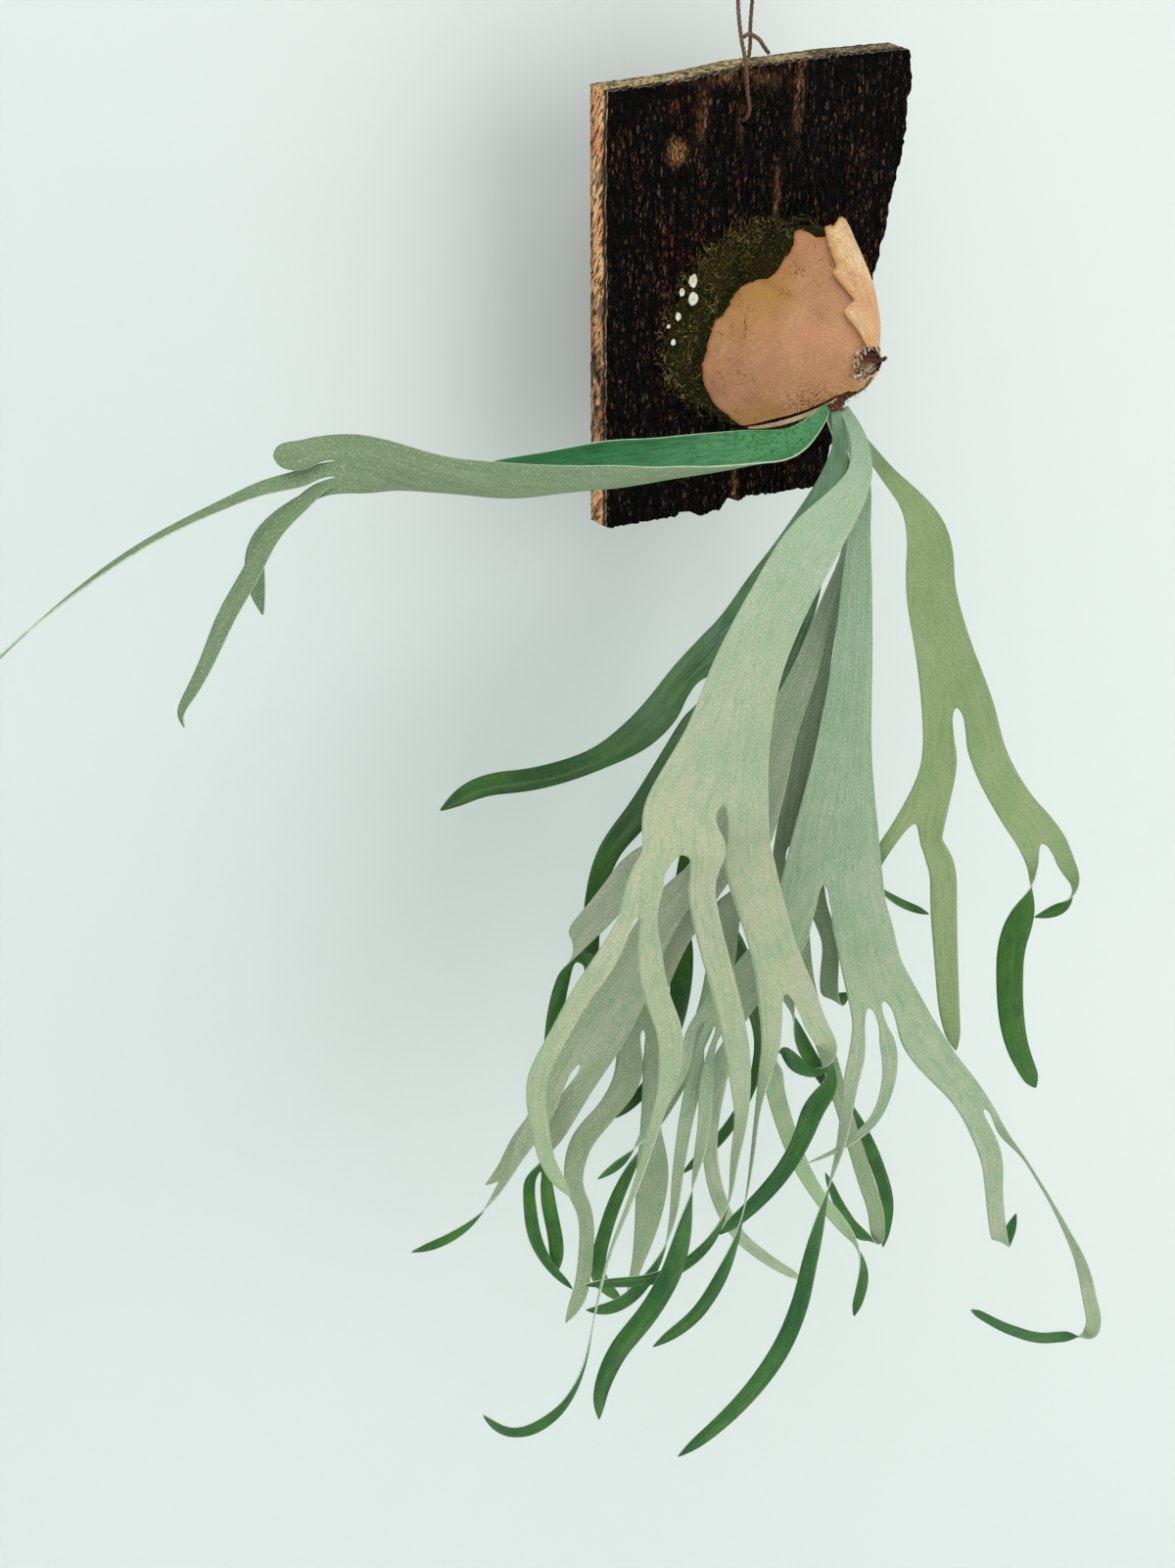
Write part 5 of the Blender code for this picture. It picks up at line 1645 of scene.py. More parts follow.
@dataclass
class Frond:
    """One fertile frond: a blade that forks again and again, grown as one piece.

    Its lobes are first a cage of wide quads, whose rows and notches are eased and then subdivided.
    """

    node: str
    root: Lobe
    tint: BladeTint
    row_mm: float = 13.0
    notch_rows_mm: tuple[float, ...] = (2.5, 6.0, 10.5)
    notch_share: float = 0.085      # radius of the rounded notch between two lobes, as a share of the width
    notch_least_mm: float = 1.7
    notch_most_mm: float = 5.4
    notch_reach_mm: float = 30.0
    relax_mm: float = 48.0          # how far from a fork its edges are eased
    relax_passes: int = 6
    blade_mm: float = 0.9
    stalk_mm: float = 2.6
    stalk_run_mm: float = 60.0
    slim: float = 0.8               # how much narrower the last lobes grow
    point_share: float = 1.25       # how long a tip's rounding is, as a share of its width
    knob_mm: float = 46.0           # a shorter last lobe is a blunt knob
    knob_share: float = 0.5
    knob_rows: Point = (0.7, 0.86, 0.95)
    tip_share: float = 0.16         # a tip's last row, as a share of the lobe's width
    wave_share: float = 0.035       # how far an edge waves, as a share of the width
    wave_mm: float = 38.0
    columns: int = 2                # columns of the cage in each tip lobe
    grown_mm: float = 800.0         # how far from the crown the blade's oldest colour ends
    strand_mm: float = 80.0         # the width that the veins are spaced for
    subdivisions: int = 2
    room_side: Point = (-0.40, -0.79, 0.46)
    points: list[np.ndarray] = field(default_factory=list)
    strands: list[Point] = field(default_factory=list)
    faces: Faces = field(default_factory=list)
    eased: list[float] = field(default_factory=list)
    follows: list[tuple[int, int]] = field(default_factory=list)
    insets: list[tuple[int, int, float]] = field(default_factory=list)

    def places(self, piece: Lobe) -> np.ndarray:
        """Where the lines between columns cross a lobe, from 0 at one edge to 1 at the other.

        Args:
            piece: the lobe.

        Returns:
            The place of each line.
        """
        if not piece.forks:
            return np.linspace(0.0, 1.0, self.columns + 1)
        whole = sum(fork.share for fork in piece.forks)
        found, start = [0.0], 0.0
        for fork in piece.forks:
            part = fork.share / whole
            found.extend(start + self.places(fork)[1:] * part)
            start += part
        return np.array(found)

    def follow(self, stations: np.ndarray, first: np.ndarray | None, last: np.ndarray | None,
               extra: tuple[float, ...]) -> list[tuple[np.ndarray, np.ndarray, float]]:
        """Rows along a smooth curve through a lobe's stations.

        Args:
            stations: the lobe's stations.
            first: the heading that the lobe starts with, if it leaves another.
            last: the heading of the lobes that it forks into, if it does.
            extra: distances from the start at which there are rows of their own.

        Returns:
            The station, heading and distance of each row.
        """
        runs = np.linalg.norm(np.diff(stations[:, :3], axis=0), axis=1)
        marks = np.concatenate([[0.0], np.cumsum(runs)])
        slopes = np.gradient(stations, marks, axis=0)
        turning = np.diff(stations, axis=0)
        for i in range(1, len(runs)):
            peak = turning[i - 1] * turning[i] <= 0
            peak[:3] = False
            slopes[i][peak] = 0.0
        if first is not None:
            slopes[0, :3] = unit(first + unit(slopes[0, :3]))
        if last is not None:
            slopes[-1, :3] = unit(last + unit(slopes[-1, :3]))
        wanted = [0.0, *extra]
        for start, run in zip(marks, runs):
            parts = max(1, round(run / self.row_mm))
            wanted.extend(start + run * (j + 1) / parts for j in range(parts))
        if marks[-1] < self.knob_mm:
            wanted.extend(share * marks[-1] for share in self.knob_rows)
        rows = []
        for distance in sorted(wanted):
            i = min(int(np.searchsorted(marks, distance, side="right")) - 1, len(runs) - 1)
            run = runs[i]
            t = (distance - marks[i]) / run
            here, there = stations[i], stations[i + 1]
            spot = ((2 * t ** 3 - 3 * t ** 2 + 1) * here + (3 * t ** 2 - 2 * t ** 3) * there
                    + (t ** 3 - 2 * t ** 2 + t) * run * slopes[i] + (t ** 3 - t ** 2) * run * slopes[i + 1])
            heading = ((6 * t ** 2 - 6 * t) * (here - there) / run
                       + (3 * t ** 2 - 4 * t + 1) * slopes[i] + (3 * t ** 2 - 2 * t) * slopes[i + 1])
            rows.append((spot, unit(heading[:3]), distance))
        return rows

    def cross_row(self, spot: np.ndarray, heading: np.ndarray, width: float, places: np.ndarray,
                  wave: tuple[float, float]) -> np.ndarray:
        """Points across the blade at one station, with its two edges waved out of the blade.

        Args:
            spot: the station.
            heading: the way that the blade runs there.
            width: its width there.
            places: the shares of the width at which there are points.
            wave: how far each edge is waved, from -1 to 1.

        Returns:
            The points, in millimetres.
        """
        across = unit(np.cross(self.room_side, heading))
        out = np.cross(heading, across)
        turn, channel = np.radians(spot[4:6])
        bend = channel if abs(channel) > 0.001 else 0.001
        spread = places - 0.5
        x = np.sin(bend * spread) * width / bend
        y = (1 - np.cos(bend * spread)) * width / bend
        y = y + width * self.wave_share * np.where(spread < 0, wave[0], wave[1]) * (2 * spread) ** 2
        side = x * math.cos(turn) - y * math.sin(turn)
        rise = x * math.sin(turn) + y * math.cos(turn)
        side -= side.mean()
        rise -= rise.mean()
        return spot[:3] + side[:, None] * across + rise[:, None] * out

    def tip_width(self, width: float, distance: float, length: float) -> float:
        """The width of a last lobe, which slims down from the fork and rounds off at its tip.

        Args:
            width: its width without that.
            distance: the distance from its start.
            length: its length.

        Returns:
            The width, in millimetres.
        """
        width *= 1 - (1 - self.slim) * float(smooth(distance / length * 2))
        rounding = self.knob_share if length < self.knob_mm else self.point_share
        left = min((length - distance) / (rounding * width), 1.0)
        return width * max(math.sqrt(1 - (1 - left) ** 2), self.tip_share)

    def inset(self, distance: float, width: float) -> float:
        """How far a lobe's inner edge is drawn in past its notch.

        Args:
            distance: the distance past the notch.
            width: the blade's width at the fork.

        Returns:
            The inset, in millimetres.
        """
        radius = min(max(self.notch_share * width, self.notch_least_mm), self.notch_most_mm)
        share = min(distance / radius / 2, 1.0)
        opened = radius * math.sqrt(1 - (1 - share) ** 2)
        return opened * (1 - smooth(distance / self.notch_reach_mm))

    def relax(self) -> None:
        """Eases the cage along its strands near each fork, then opens the notches."""
        spots = np.array(self.points)
        earlier, later = np.array(self.follows).T
        after_count = np.bincount(earlier, minlength=len(spots))
        before_count = np.bincount(later, minlength=len(spots))
        ease = np.array(self.eased)[:, None] * 0.5
        ease[(after_count == 0) | (before_count == 0)] = 0.0
        shared = np.maximum(after_count, 1)[:, None]
        for _ in range(self.relax_passes):
            after, before = np.zeros_like(spots), np.zeros_like(spots)
            np.add.at(after, earlier, spots[later])
            np.add.at(before, later, spots[earlier])
            target = (after / shared + before) / 2
            spots = spots + (target - spots) * ease
        moved = spots.copy()
        for index, neighbour, amount in self.insets:
            toward = spots[neighbour] - spots[index]
            reach = np.linalg.norm(toward)
            moved[index] += toward / reach * min(amount, 0.55 * reach)
        self.points = list(moved)

    def grow(self, piece: Lobe, span: tuple[float, float], walked: float, shared: list[int] | None = None,
             heading: np.ndarray | None = None, start: tuple[float, float] = (0.0, 0.0),
             inner: tuple[bool, bool] = (False, False), fork_width: float = 0.0) -> None:
        """Adds a lobe and all it forks into to the cage.

        Args:
            piece: the lobe.
            span: the share of the whole blade's width that the lobe carries on.
            walked: the distance from the crown to the lobe's start.
            shared: the vertices of the row that it shares with the lobe it leaves.
            heading: that lobe's heading at its end.
            start: that lobe's turn and channel at its end.
            inner: whether the lobe's first and last edges face a notch.
            fork_width: the blade's width at the fork that the lobe starts from.
        """
        stations, places = piece.stations, self.places(piece)
        low, wide = span[0], span[1] - span[0]
        first_width, onward = 0.0, None
        if shared is not None:
            known = np.array([self.points[i] for i in shared])
            first_width = np.linalg.norm(np.diff(known, axis=0), axis=1).sum()
            stations = np.vstack([[*known.mean(axis=0), first_width, *start], stations])
        if piece.forks:
            onward = unit(sum(unit(fork.stations[0, :3] - stations[-1, :3]) * fork.share
                              for fork in piece.forks))
        rows = self.follow(stations, heading, onward, self.notch_rows_mm if shared is not None else ())
        length = rows[-1][2]
        settle = max(np.linalg.norm(stations[1, :3] - stations[0, :3]), 1.2 * first_width)
        before = shared
        for spot, line, distance in rows:
            width = spot[3] if piece.forks else self.tip_width(spot[3], distance, length)
            along = walked + distance
            wave = (ripple(along / self.wave_mm, span[0] * 9, self.tint.seed),
                    ripple(along / self.wave_mm, span[1] * 9 + 40, self.tint.seed))
            points = self.cross_row(spot, line, width, places, wave)
            if shared is not None:
                if distance == 0.0:
                    offset = known - points
                    continue
                points = points + offset * (1 - smooth(distance / settle))
            row = list(range(len(self.points), len(self.points) + len(points)))
            self.points.extend(points)
            if shared is not None:
                drawn_in = self.inset(distance, fork_width)
                self.insets += [(corner, neighbour, drawn_in) for faces_notch, corner, neighbour
                                in zip(inner, (row[0], row[-1]), (row[1], row[-2])) if faces_notch]
            from_fork = distance if shared is not None else math.inf
            to_fork = length - distance if piece.forks else math.inf
            self.eased += [1 - float(smooth(min(from_fork, to_fork) / self.relax_mm))] * len(points)
            # The third value, the age, runs from 0 at the crown to 1 at a distant tip
            self.strands.extend(((low + wide * p) * self.strand_mm * MM, along * MM,
                                 min(along / self.grown_mm, 1.0)) for p in places)
            if before is not None:
                self.follows.extend(zip(before, row))
                self.faces.extend(zip(row, row[1:], before[1:], before))
            before = row
        index = 0
        for number, fork in enumerate(piece.forks):
            end = index + len(self.places(fork)) - 1
            self.grow(fork, (low + wide * places[index], low + wide * places[end]), walked + length,
                      before[index:end + 1], rows[-1][1], (stations[-1, 4], stations[-1, 5] * fork.share),
                      (number > 0, number < len(piece.forks) - 1), stations[-1, 3])
            index = end

    def build(self) -> bpy.types.Object:
        """Builds the frond as a felted blade with a rounded stalk.

        Returns:
            The frond.
        """
        self.grow(self.root, (0.0, 1.0), 0.0)
        self.relax()
        # The rim's material carries a painted highlight
        finishes = [BladeFinish(Side.UNDER, self.tint).make(self.node),
                    BladeFinish(Side.UPPER, self.tint).make(self.node), BladeEdgeHighlight().make()]
        made = make_object(self.node + "_leaf", self.points, self.faces, finishes, {"strand": self.strands})
        group = made.vertex_groups.new(name="stalk")
        for i, (_, along, _) in enumerate(self.strands):
            group.add([i], float(1 - smooth(along / MM / self.stalk_run_mm)), "REPLACE")
        modify(made, "smooth", "SUBSURF", levels=self.subdivisions, render_levels=self.subdivisions)
        modify(made, "blade", "SOLIDIFY", thickness=self.stalk_mm * MM, vertex_group=group.name,
               thickness_vertex_group=self.blade_mm / self.stalk_mm, offset=0.0,
               material_offset=1, material_offset_rim=2)
        return place(made, Slot.FROND, self.node)


# The blades as they hang, from front to back: the same stations as the CAD blades

FROND_LEFT = lobe([(17.4, -97.6, -54.8, 6, -180, -30), (-8, -106, -68, 16, -174, -60),
     (-56, -114, -71, 36, -154, -130), (-114, -120, -71, 50, -143, -180),
     (-174, -126, -70, 60, -128, -200), (-230, -132, -69, 54, -109, -185),
     (-272, -138, -64, 37, -72, -110), (-300, -142, -55, 30, -30, -50),
     (-320, -143, -51, 29, -4, -10)], 1.0,
    lobe([(-334, -144, -43, 15, 0, 0), (-347, -145, -42, 12)], 0.44),
    lobe([(-336, -145, -54, 9, 0, 0), (-352, -147, -55, 7), (-372, -150, -60, 5, 10),
         (-412, -152, -74, 4, 30), (-434, -156, -84, 4, 40), (-458, -158, -98, 3, 60),
         (-482, -160, -114, 2, 80), (-492, -162, -122, 2)], 0.26),
    lobe([(-334, -146, -64, 8, 0, 0), (-350, -149, -74, 8), (-367, -154, -95, 9), (-382, -156, -114, 9),
         (-394, -158, -134, 7), (-404, -160, -148, 6), (-412, -162, -156, 4, 10),
         (-410, -162, -164, 4, 30)], 0.18),
    lobe([(-336, -137, -67, 7, 20, 0), (-352, -134, -74, 6, 60), (-360, -134, -88, 10, 0),
         (-362, -136, -106, 11), (-360, -136, -122, 7)], 0.12))

FROND_BACK_LEFT = lobe([(24.5, -98, -57.6, 6, 180), (30, -100, -80, 10), (26, -100, -102, 17),
     (16, -94, -138, 30), (8, -86, -176, 50), (-8, -78, -222, 66), (-30, -72, -256, 78)], 1.0,
    lobe([(-36, -92, -308, 34, 180), (-62, -104, -352, 31), (-76, -112, -402, 29)], 0.38,
        lobe([(-48, -118, -426, 18, 180), (-30, -126, -480, 16), (-18, -132, -538, 12),
             (-28, -136, -576, 10), (-54, -140, -608, 11), (-92, -142, -630, 10)], 0.5),
        lobe([(-90, -124, -452, 19, 180), (-100, -134, -488, 13), (-126, -143, -522, 11),
             (-148, -147, -534, 10), (-172, -149, -534, 7)], 0.5)),
    lobe([(-72, -74, -300, 27, 180), (-102, -80, -328, 24), (-132, -86, -352, 20), (-146, -90, -394, 17),
         (-150, -96, -442, 14), (-146, -100, -476, 10), (-152, -102, -500, 8)], 0.3),
    lobe([(-90, -56, -278, 28, 180), (-126, -50, -296, 20), (-170, -46, -302, 20), (-214, -44, -300, 18),
         (-240, -42, -312, 11)], 0.32))

FROND_CENTRE = lobe([(30.6, -98.6, -56.2, 6, 20), (34, -112, -72, 10, 10), (28, -126, -92, 16, 0),
     (4, -138, -110, 26), (-24, -150, -126, 35), (-52, -160, -154, 37), (-82, -172, -194, 43),
     (-98, -180, -234, 54), (-108, -185, -258, 68), (-114, -188, -274, 82)], 1.0,
    lobe([(-139, -191, -294, 54)], 0.62,
        lobe([(-164, -196, -300, 24), (-174, -204, -322, 22)], 0.48,
            lobe([(-194, -208, -340, 15), (-214, -210, -360, 14), (-234, -214, -386, 14),
                 (-250, -216, -412, 16), (-250, -220, -444, 14), (-244, -222, -482, 12),
                 (-232, -226, -508, 9)], 0.48),
            lobe([(-168, -208, -350, 17), (-164, -212, -380, 17), (-156, -218, -412, 18),
                 (-160, -224, -438, 15), (-170, -230, -458, 9, 20), (-194, -242, -506, 9, 70),
                 (-218, -252, -546, 8, 85), (-234, -262, -586, 8, 95), (-246, -268, -624, 9, 115),
                 (-262, -272, -642, 10, 150), (-284, -274, -646, 10, 180), (-304, -276, -632, 8),
                 (-318, -276, -606, 6)], 0.52)),
        lobe([(-126, -196, -308, 20), (-124, -204, -342, 18), (-114, -210, -386, 19),
             (-104, -216, -434, 20), (-100, -220, -470, 18), (-100, -224, -496, 12, 15),
             (-106, -228, -534, 10, 60), (-110, -230, -572, 10, 100), (-122, -232, -596, 10, 150),
             (-140, -232, -610, 10, 180), (-174, -236, -606, 10), (-206, -236, -592, 8),
             (-228, -238, -580, 6)], 0.52)),
    lobe([(-80, -190, -322, 33), (-69, -198, -366, 31), (-58, -206, -408, 36),
         (-54, -210, -424, 43)], 0.38,
        lobe([(-72, -216, -442, 16), (-80, -220, -470, 10, 30), (-86, -224, -494, 8, 70),
             (-92, -230, -532, 8, 80), (-98, -234, -572, 8, 100), (-106, -236, -608, 9, 140),
             (-118, -238, -634, 12, 180), (-140, -240, -660, 12), (-174, -240, -672, 8)], 0.5),
        lobe([(-28, -212, -460, 15), (-10, -206, -492, 18, 80), (-6, -202, -518, 26, 180)], 0.5,
            lobe([(-18, -204, -532, 20, 180), (-28, -208, -556, 17), (-46, -210, -586, 16),
                 (-72, -212, -606, 14), (-104, -214, -620, 10)], 0.55),
            lobe([(-30, -198, -506, 14, 180), (-42, -190, -488, 14, 170), (-42, -182, -496, 14, 90),
                 (-40, -180, -522, 16, 10), (-26, -180, -572, 16, 0), (-10, -182, -616, 16),
                 (18, -182, -672, 14), (46, -184, -718, 14, 20), (66, -184, -756, 14, 90),
                 (78, -184, -796, 14, 160), (74, -184, -846, 10, 180)], 0.45))))

FROND_RIGHT_CENTRE = lobe([(28, -95.5, -58.5, 6), (40, -100, -80, 8), (40, -112, -102, 12),
     (30, -126, -126, 14), (26, -134, -162, 20), (22, -142, -206, 26), (14, -152, -274, 39),
     (8, -160, -334, 60), (4, -166, -378, 76)], 1.0,
    lobe([(-30, -170, -398, 34), (-58, -176, -418, 30), (-84, -182, -434, 30),
         (-104, -186, -450, 34)], 0.42,
        lobe([(-124, -190, -464, 12), (-140, -194, -482, 11, 10), (-160, -198, -508, 10, 40),
             (-178, -200, -524, 10, 150), (-200, -202, -530, 6, 180)], 0.25),
        lobe([(-118, -192, -478, 12), (-130, -200, -514, 11), (-138, -206, -552, 10, 20),
             (-144, -210, -594, 9, 70), (-156, -212, -626, 10, 140), (-174, -214, -644, 12, 180),
             (-194, -216, -646, 12), (-216, -216, -636, 6)], 0.25),
        lobe([(-114, -200, -476, 11), (-122, -212, -508, 10, 20), (-136, -224, -540, 10, 80),
             (-150, -237, -564, 15, 150), (-162, -244, -592, 18, 180), (-184, -248, -622, 18),
             (-210, -250, -646, 17), (-224, -254, -672, 13), (-226, -256, -698, 7)], 0.25),
        lobe([(-94, -186, -484, 16), (-100, -188, -518, 15), (-100, -190, -564, 13),
             (-94, -192, -600, 14), (-82, -194, -636, 13), (-66, -194, -666, 12), (-42, -196, -698, 11),
             (-4, -196, -742, 8)], 0.25)),
    lobe([(38, -174, -422, 44), (44, -182, -454, 46), (54, -190, -482, 55)], 0.58,
        lobe([(24, -198, -498, 14), (14, -204, -526, 12), (10, -208, -554, 10, 30),
             (2, -214, -588, 11, 75), (-10, -220, -614, 12, 110), (-20, -226, -642, 14, 150),
             (-30, -232, -672, 15, 180), (-40, -238, -706, 17), (-60, -244, -742, 18),
             (-94, -250, -768, 16), (-130, -254, -782, 13), (-158, -256, -788, 8)], 0.27),
        lobe([(54, -198, -518, 14), (52, -204, -550, 12), (40, -208, -574, 9, 20),
             (22, -210, -582, 8, 50), (0, -212, -586, 6, 75), (-28, -214, -584, 5, 80)], 0.23),
        lobe([(86, -202, -516, 32), (104, -210, -544, 29), (126, -220, -574, 26),
             (138, -226, -596, 27)], 0.5,
            lobe([(146, -236, -636, 20), (150, -244, -676, 18), (154, -250, -706, 18),
                 (168, -248, -736, 16, 80), (184, -240, -744, 14, 180), (196, -234, -728, 10)], 0.72),
            lobe([(164, -230, -626, 8, 40), (182, -236, -650, 9, 80), (208, -244, -692, 10, 85),
                 (240, -252, -748, 11, 70), (266, -260, -800, 14, 45), (280, -268, -846, 16, 10),
                 (288, -274, -882, 18, 0), (288, -270, -902, 16, 90), (272, -264, -898, 13, 180),
                 (240, -260, -886, 13), (196, -258, -852, 12), (136, -256, -792, 8)], 0.28))))

FROND_RIGHT = lobe([(30, -91.5, -59.1, 6), (56, -98, -86, 8), (60, -116, -100, 11), (76, -124, -118, 18),
     (84, -132, -138, 29), (84, -142, -174, 34), (94, -152, -216, 40), (108, -160, -262, 53)], 1.0,
    lobe([(92, -166, -300, 26), (78, -172, -328, 31), (70, -174, -342, 38)], 0.5,
        lobe([(48, -174, -346, 14), (38, -172, -360, 10, 40), (44, -168, -380, 8, 90),
             (68, -164, -404, 8, 140), (112, -160, -434, 6, 180)], 0.4),
        lobe([(98, -178, -374, 21), (104, -182, -416, 22), (110, -188, -464, 20), (116, -194, -508, 18),
             (126, -198, -546, 10)], 0.6)),
    lobe([(142, -168, -306, 28), (172, -174, -350, 31), (204, -178, -388, 38)], 0.5,
        lobe([(196, -182, -412, 9, 60), (188, -186, -434, 20, 160), (176, -190, -460, 24, 180),
             (176, -196, -502, 24), (190, -200, -556, 22), (224, -204, -620, 14)], 0.5),
        lobe([(232, -182, -412, 14, 20), (248, -180, -438, 13, 90), (248, -174, -460, 14, 170),
             (220, -170, -464, 7, 180)], 0.5)))

FROND_BACK_CENTRE = lobe([(22, -93, -58.5, 5), (40, -98, -100, 6), (34, -112, -148, 8),
     (18, -118, -176, 10), (-4, -126, -222, 18), (-26, -132, -258, 26), (-50, -138, -302, 44),
     (-82, -144, -342, 64)], 1.0,
    lobe([(-126, -128, -332, 22), (-142, -124, -356, 22), (-162, -120, -380, 20),
         (-176, -116, -396, 19, 20), (-178, -110, -412, 20, 120), (-166, -106, -424, 28, 180)], 0.25,
        lobe([(-146, -106, -444, 16, 180), (-140, -108, -472, 12), (-156, -110, -500, 9),
             (-170, -112, -524, 6)], 0.45),
        lobe([(-180, -106, -440, 12, 180), (-188, -108, -472, 12), (-194, -110, -506, 10, 150),
             (-204, -112, -538, 12, 100), (-222, -114, -562, 13, 30), (-238, -116, -588, 12, 0),
             (-250, -118, -590, 9)], 0.55)),
    lobe([(-128, -150, -380, 26), (-148, -154, -412, 32), (-174, -158, -450, 36),
         (-194, -162, -470, 34)], 0.3,
        lobe([(-226, -168, -490, 18), (-246, -172, -514, 12, 20), (-264, -176, -538, 8, 60),
             (-284, -178, -554, 8, 140), (-306, -180, -558, 8, 180), (-328, -182, -554, 6)], 0.5),
        lobe([(-202, -160, -498, 19), (-216, -158, -532, 16, 60), (-224, -156, -558, 21, 180)], 0.5,
            lobe([(-216, -158, -594, 13, 180), (-212, -160, -634, 14), (-214, -162, -658, 10)], 0.5),
            lobe([(-232, -158, -578, 10, 180), (-230, -160, -610, 12), (-220, -162, -644, 9),
                 (-200, -162, -682, 6)], 0.5))),
    lobe([(-110, -146, -396, 20), (-130, -148, -430, 25), (-140, -150, -466, 30)], 0.22,
        lobe([(-146, -152, -496, 24), (-166, -156, -518, 17), (-192, -160, -538, 20),
             (-200, -164, -566, 17), (-192, -168, -600, 14), (-194, -172, -642, 14),
             (-202, -176, -676, 14), (-214, -178, -694, 6)], 0.6),
        lobe([(-130, -152, -500, 13), (-132, -156, -542, 16), (-132, -162, -596, 31),
             (-140, -168, -642, 22), (-150, -172, -676, 10), (-160, -176, -702, 6, 30)], 0.4)),
    lobe([(-66, -142, -388, 22), (-66, -140, -428, 22), (-72, -136, -478, 19), (-88, -132, -530, 18, 20),
         (-106, -128, -576, 16, 60), (-134, -126, -628, 14, 150), (-150, -124, -676, 14, 180),
         (-158, -124, -730, 16), (-134, -122, -778, 8)], 0.23))

FROND_BACK_RIGHT = lobe([(26, -89, -59, 5), (46, -94, -108, 6), (34, -110, -162, 8), (22, -116, -198, 10),
     (12, -122, -242, 15), (6, -126, -280, 20), (0, -130, -322, 26), (-2, -134, -360, 36)], 1.0,
    lobe([(-8, -132, -412, 14), (-4, -136, -472, 15, 20), (16, -140, -538, 16, 150),
         (46, -144, -592, 14, 180), (78, -146, -642, 14), (110, -148, -708, 15), (130, -150, -770, 14),
         (132, -150, -822, 8)], 0.34),
    lobe([(2, -138, -410, 14), (8, -146, -470, 15), (34, -154, -552, 16), (60, -160, -632, 16),
         (82, -166, -698, 18), (100, -168, -752, 18), (104, -166, -786, 16, 90),
         (88, -160, -770, 14, 180), (68, -158, -736, 12), (44, -156, -680, 6)], 0.33),
    lobe([(18, -140, -410, 16), (30, -146, -446, 16), (28, -150, -474, 18), (36, -148, -500, 17, 80),
         (54, -142, -506, 12, 180), (60, -140, -506, 6)], 0.33))


# Camera, stage and light

@dataclass
class Studio:
    """A plain pale sweep behind and below the plant, soft lamps, and the camera, in metres."""

    camera_at: Point = (-0.4725, -0.722, 0.079)
    right: Point = (0.89101, -0.45399, 0.0)
    up: Point = (0.20963, 0.41142, 0.88701)
    ahead: Point = (0.40270, 0.79034, -0.46175)
    lens_mm: float = 27.03
    sensor_mm: float = 36.0
    wall_y: float = 0.10
    floor_z: float = -1.16
    sweep_radius: float = 0.50
    sweep_steps: int = 24
    half_width: float = 5.0
    depth: float = 4.0
    height: float = 2.4
    lit: Point = (-0.1, -0.15, -0.35)       # what every lamp points at
    sky_colour: str = "#EAF4F2"
    sky_strength: float = 0.60

    def add_camera(self) -> None:
        """Sets up the camera: above the plant's left side, looking down and to the right."""
        data = bpy.data.cameras.new("camera")
        data.lens = self.lens_mm
        data.sensor_width = self.sensor_mm
        camera = bpy.data.objects.new("camera", data)
        columns = [Vector(self.right), Vector(self.up), -Vector(self.ahead)]
        camera.matrix_world = Matrix.Translation(self.camera_at) @ Matrix(columns).transposed().to_4x4()
        bpy.context.scene.collection.objects.link(camera)
        bpy.context.scene.camera = camera

    def add_sweep(self) -> None:
        """Builds the backdrop, which is open to the eye from behind."""
        centre = (self.wall_y - self.sweep_radius, self.floor_z + self.sweep_radius)
        profile = [(self.wall_y, self.height)]
        for turn in np.radians(np.linspace(0, -90, self.sweep_steps)):
            profile.append((centre[0] + self.sweep_radius * math.cos(turn),
                            centre[1] + self.sweep_radius * math.sin(turn)))
        profile.append((-self.depth, self.floor_z))
        points = [(x / MM, y / MM, z / MM) for y, z in profile for x in (-self.half_width, self.half_width)]
        paper = Surface("matt_paper_sweep", {"Roughness": 0.9, "Base Color": linear("#E9EEEC")})
        behind = paper.node("NewGeometry", output="Backfacing")
        seen = paper.node("MixShader", {0: behind, 1: paper.shader.outputs[0],
                                        2: paper.node("BsdfTransparent")})
        paper.tree.links.new(seen, paper.tree.nodes["Material Output"].inputs[0])
        sweep = make_object("pale_sweep", points, [face[::-1] for face in grid_faces(len(profile), 2)],
                            [paper.material])
        sweep.visible_shadow = False

    def add_lamp(self, name: str, at: Point, size: float, watts: float, colour: str) -> None:
        """Adds a soft square lamp that points at the plant.

        Args:
            name: its name.
            at: where it stands.
            size: the length of its side.
            watts: its power.
            colour: the hex colour of its light.
        """
        data = bpy.data.lights.new(name, "AREA")
        data.size = size
        data.energy = watts
        data.color = linear(colour)[:3]
        lamp = bpy.data.objects.new(name, data)
        lamp.location = at
        lamp.rotation_euler = (Vector(self.lit) - Vector(at)).to_track_quat("-Z", "Y").to_euler()
        bpy.context.scene.collection.objects.link(lamp)

    def add_light(self) -> None:
        """Adds the lamps and an even pale sky."""
        self.add_lamp("key", (1.1, -2.0, -0.2), 2.4, 21.0, "#FFFDF8")
        self.add_lamp("fill", (-1.8, -1.6, 1.2), 2.4, 16.0, "#F6FBFF")
        self.add_lamp("top", (0.0, -0.7, 1.6), 2.0, 9.0, "#FFFFFF")
        self.add_lamp("rear", (0.2, 2.2, 0.4), 1.6, 12.0, "#F6FFFC")
        world = bpy.data.worlds.new("studio_sky")
        world.use_nodes = True
        sky = world.node_tree.nodes["Background"]
        sky.inputs["Color"].default_value = linear(self.sky_colour)
        sky.inputs["Strength"].default_value = self.sky_strength
        bpy.context.scene.world = world


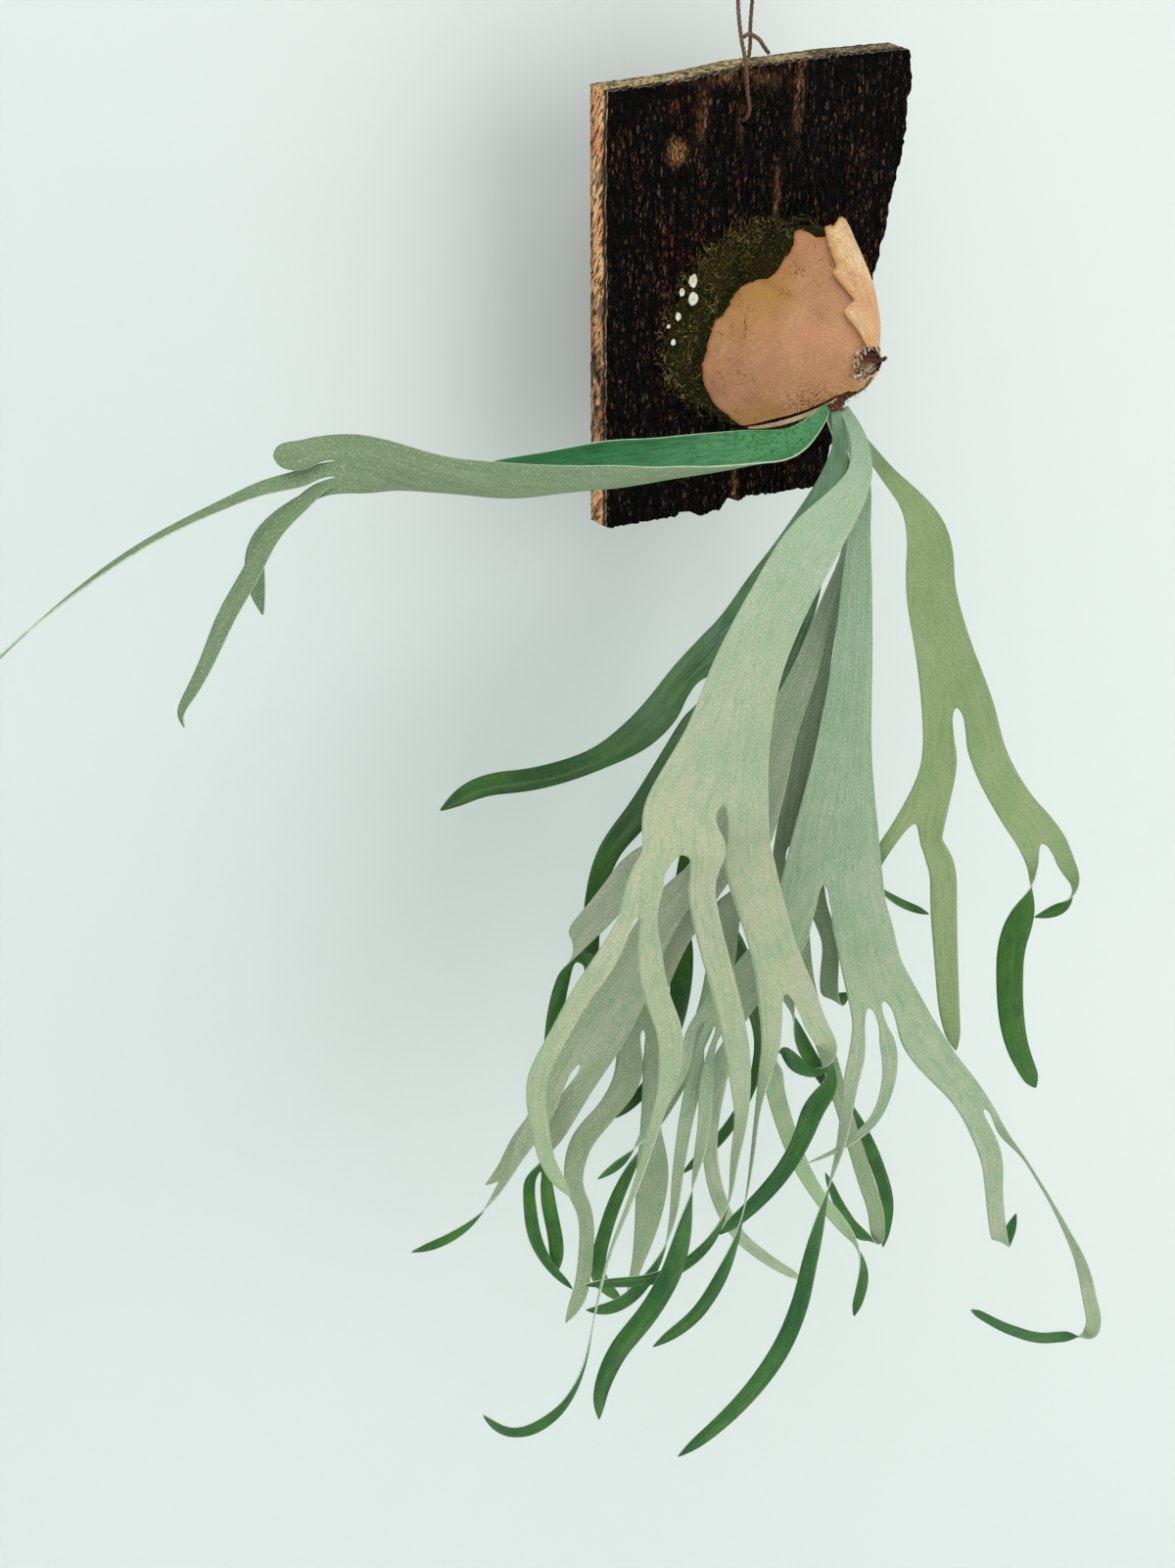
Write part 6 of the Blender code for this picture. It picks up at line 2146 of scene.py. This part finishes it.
FRONDS = [
    Frond("left_frond", FROND_LEFT, BladeTint(
        ("#869A78", "#80946F", "#6E865E"), ("#64A272", "#2A7A42", "#38783E"), 1.0, worn="#728A62",
        fresh="#2F8048", silver="#98A484", tufts="#C3CCB2", bloom="#4F9464", wet=True),
        relax_mm=14.0, notch_share=0.01, notch_least_mm=0.4, slim=1.0),
    Frond("back_left_frond", FROND_BACK_LEFT, BladeTint(
        ("#93AE93", "#A3B79E", "#8DA68A"), ("#8FAE92", "#2E5426", "#28501C"), 2.0)),
    Frond("centre_frond", FROND_CENTRE, BladeTint(
        ("#A8C4A6", "#C6C4A2", "#A2B888"), ("#5E8F66", "#275833", "#2A602C"), 3.0, worn="#94B68C")),
    Frond("right_centre_frond", FROND_RIGHT_CENTRE, BladeTint(
        ("#96B898", "#AEBE9C", "#B4B894"), ("#5E8F66", "#275833", "#2A602C"), 4.0, worn="#86AA82")),
    Frond("right_frond", FROND_RIGHT, BladeTint(
        ("#98AE7C", "#98A878", "#8FA26C"), ("#5E8F56", "#38681E", "#2F6416"), 5.0, worn="#7E9860",
        fresh="#4B7A2F", silver="#A2AC80", tufts="#C3CCA4", bloom="#5A7A3C"), slim=0.9),
    Frond("back_centre_frond", FROND_BACK_CENTRE, BladeTint(
        ("#8B9C80", "#A9AE92", "#9DAC80"), ("#5E8F66", "#285626", "#2A6420"), 6.0, worn="#86A27C",
        fresh="#558A30")),
    Frond("back_right_frond", FROND_BACK_RIGHT, BladeTint(
        ("#849676", "#9CA884", "#98A87A"), ("#5E8F66", "#285628", "#2A6420"), 7.0, worn="#829E76",
        fresh="#558A30")),
]


def main() -> None:
    """Builds every piece in order."""
    logging.basicConfig(level=logging.INFO, format="%(message)s")
    studio = Studio()
    studio.add_camera()
    for assembly in (TwineLoop(), BarkSlab(), MossMound(), Shields(), Crown(), Mushrooms(), *FRONDS):
        assembly.build()
    studio.add_sweep()
    studio.add_light()
    bpy.context.scene.view_settings.view_transform = "Standard"


if __name__ == "__main__":
    main()
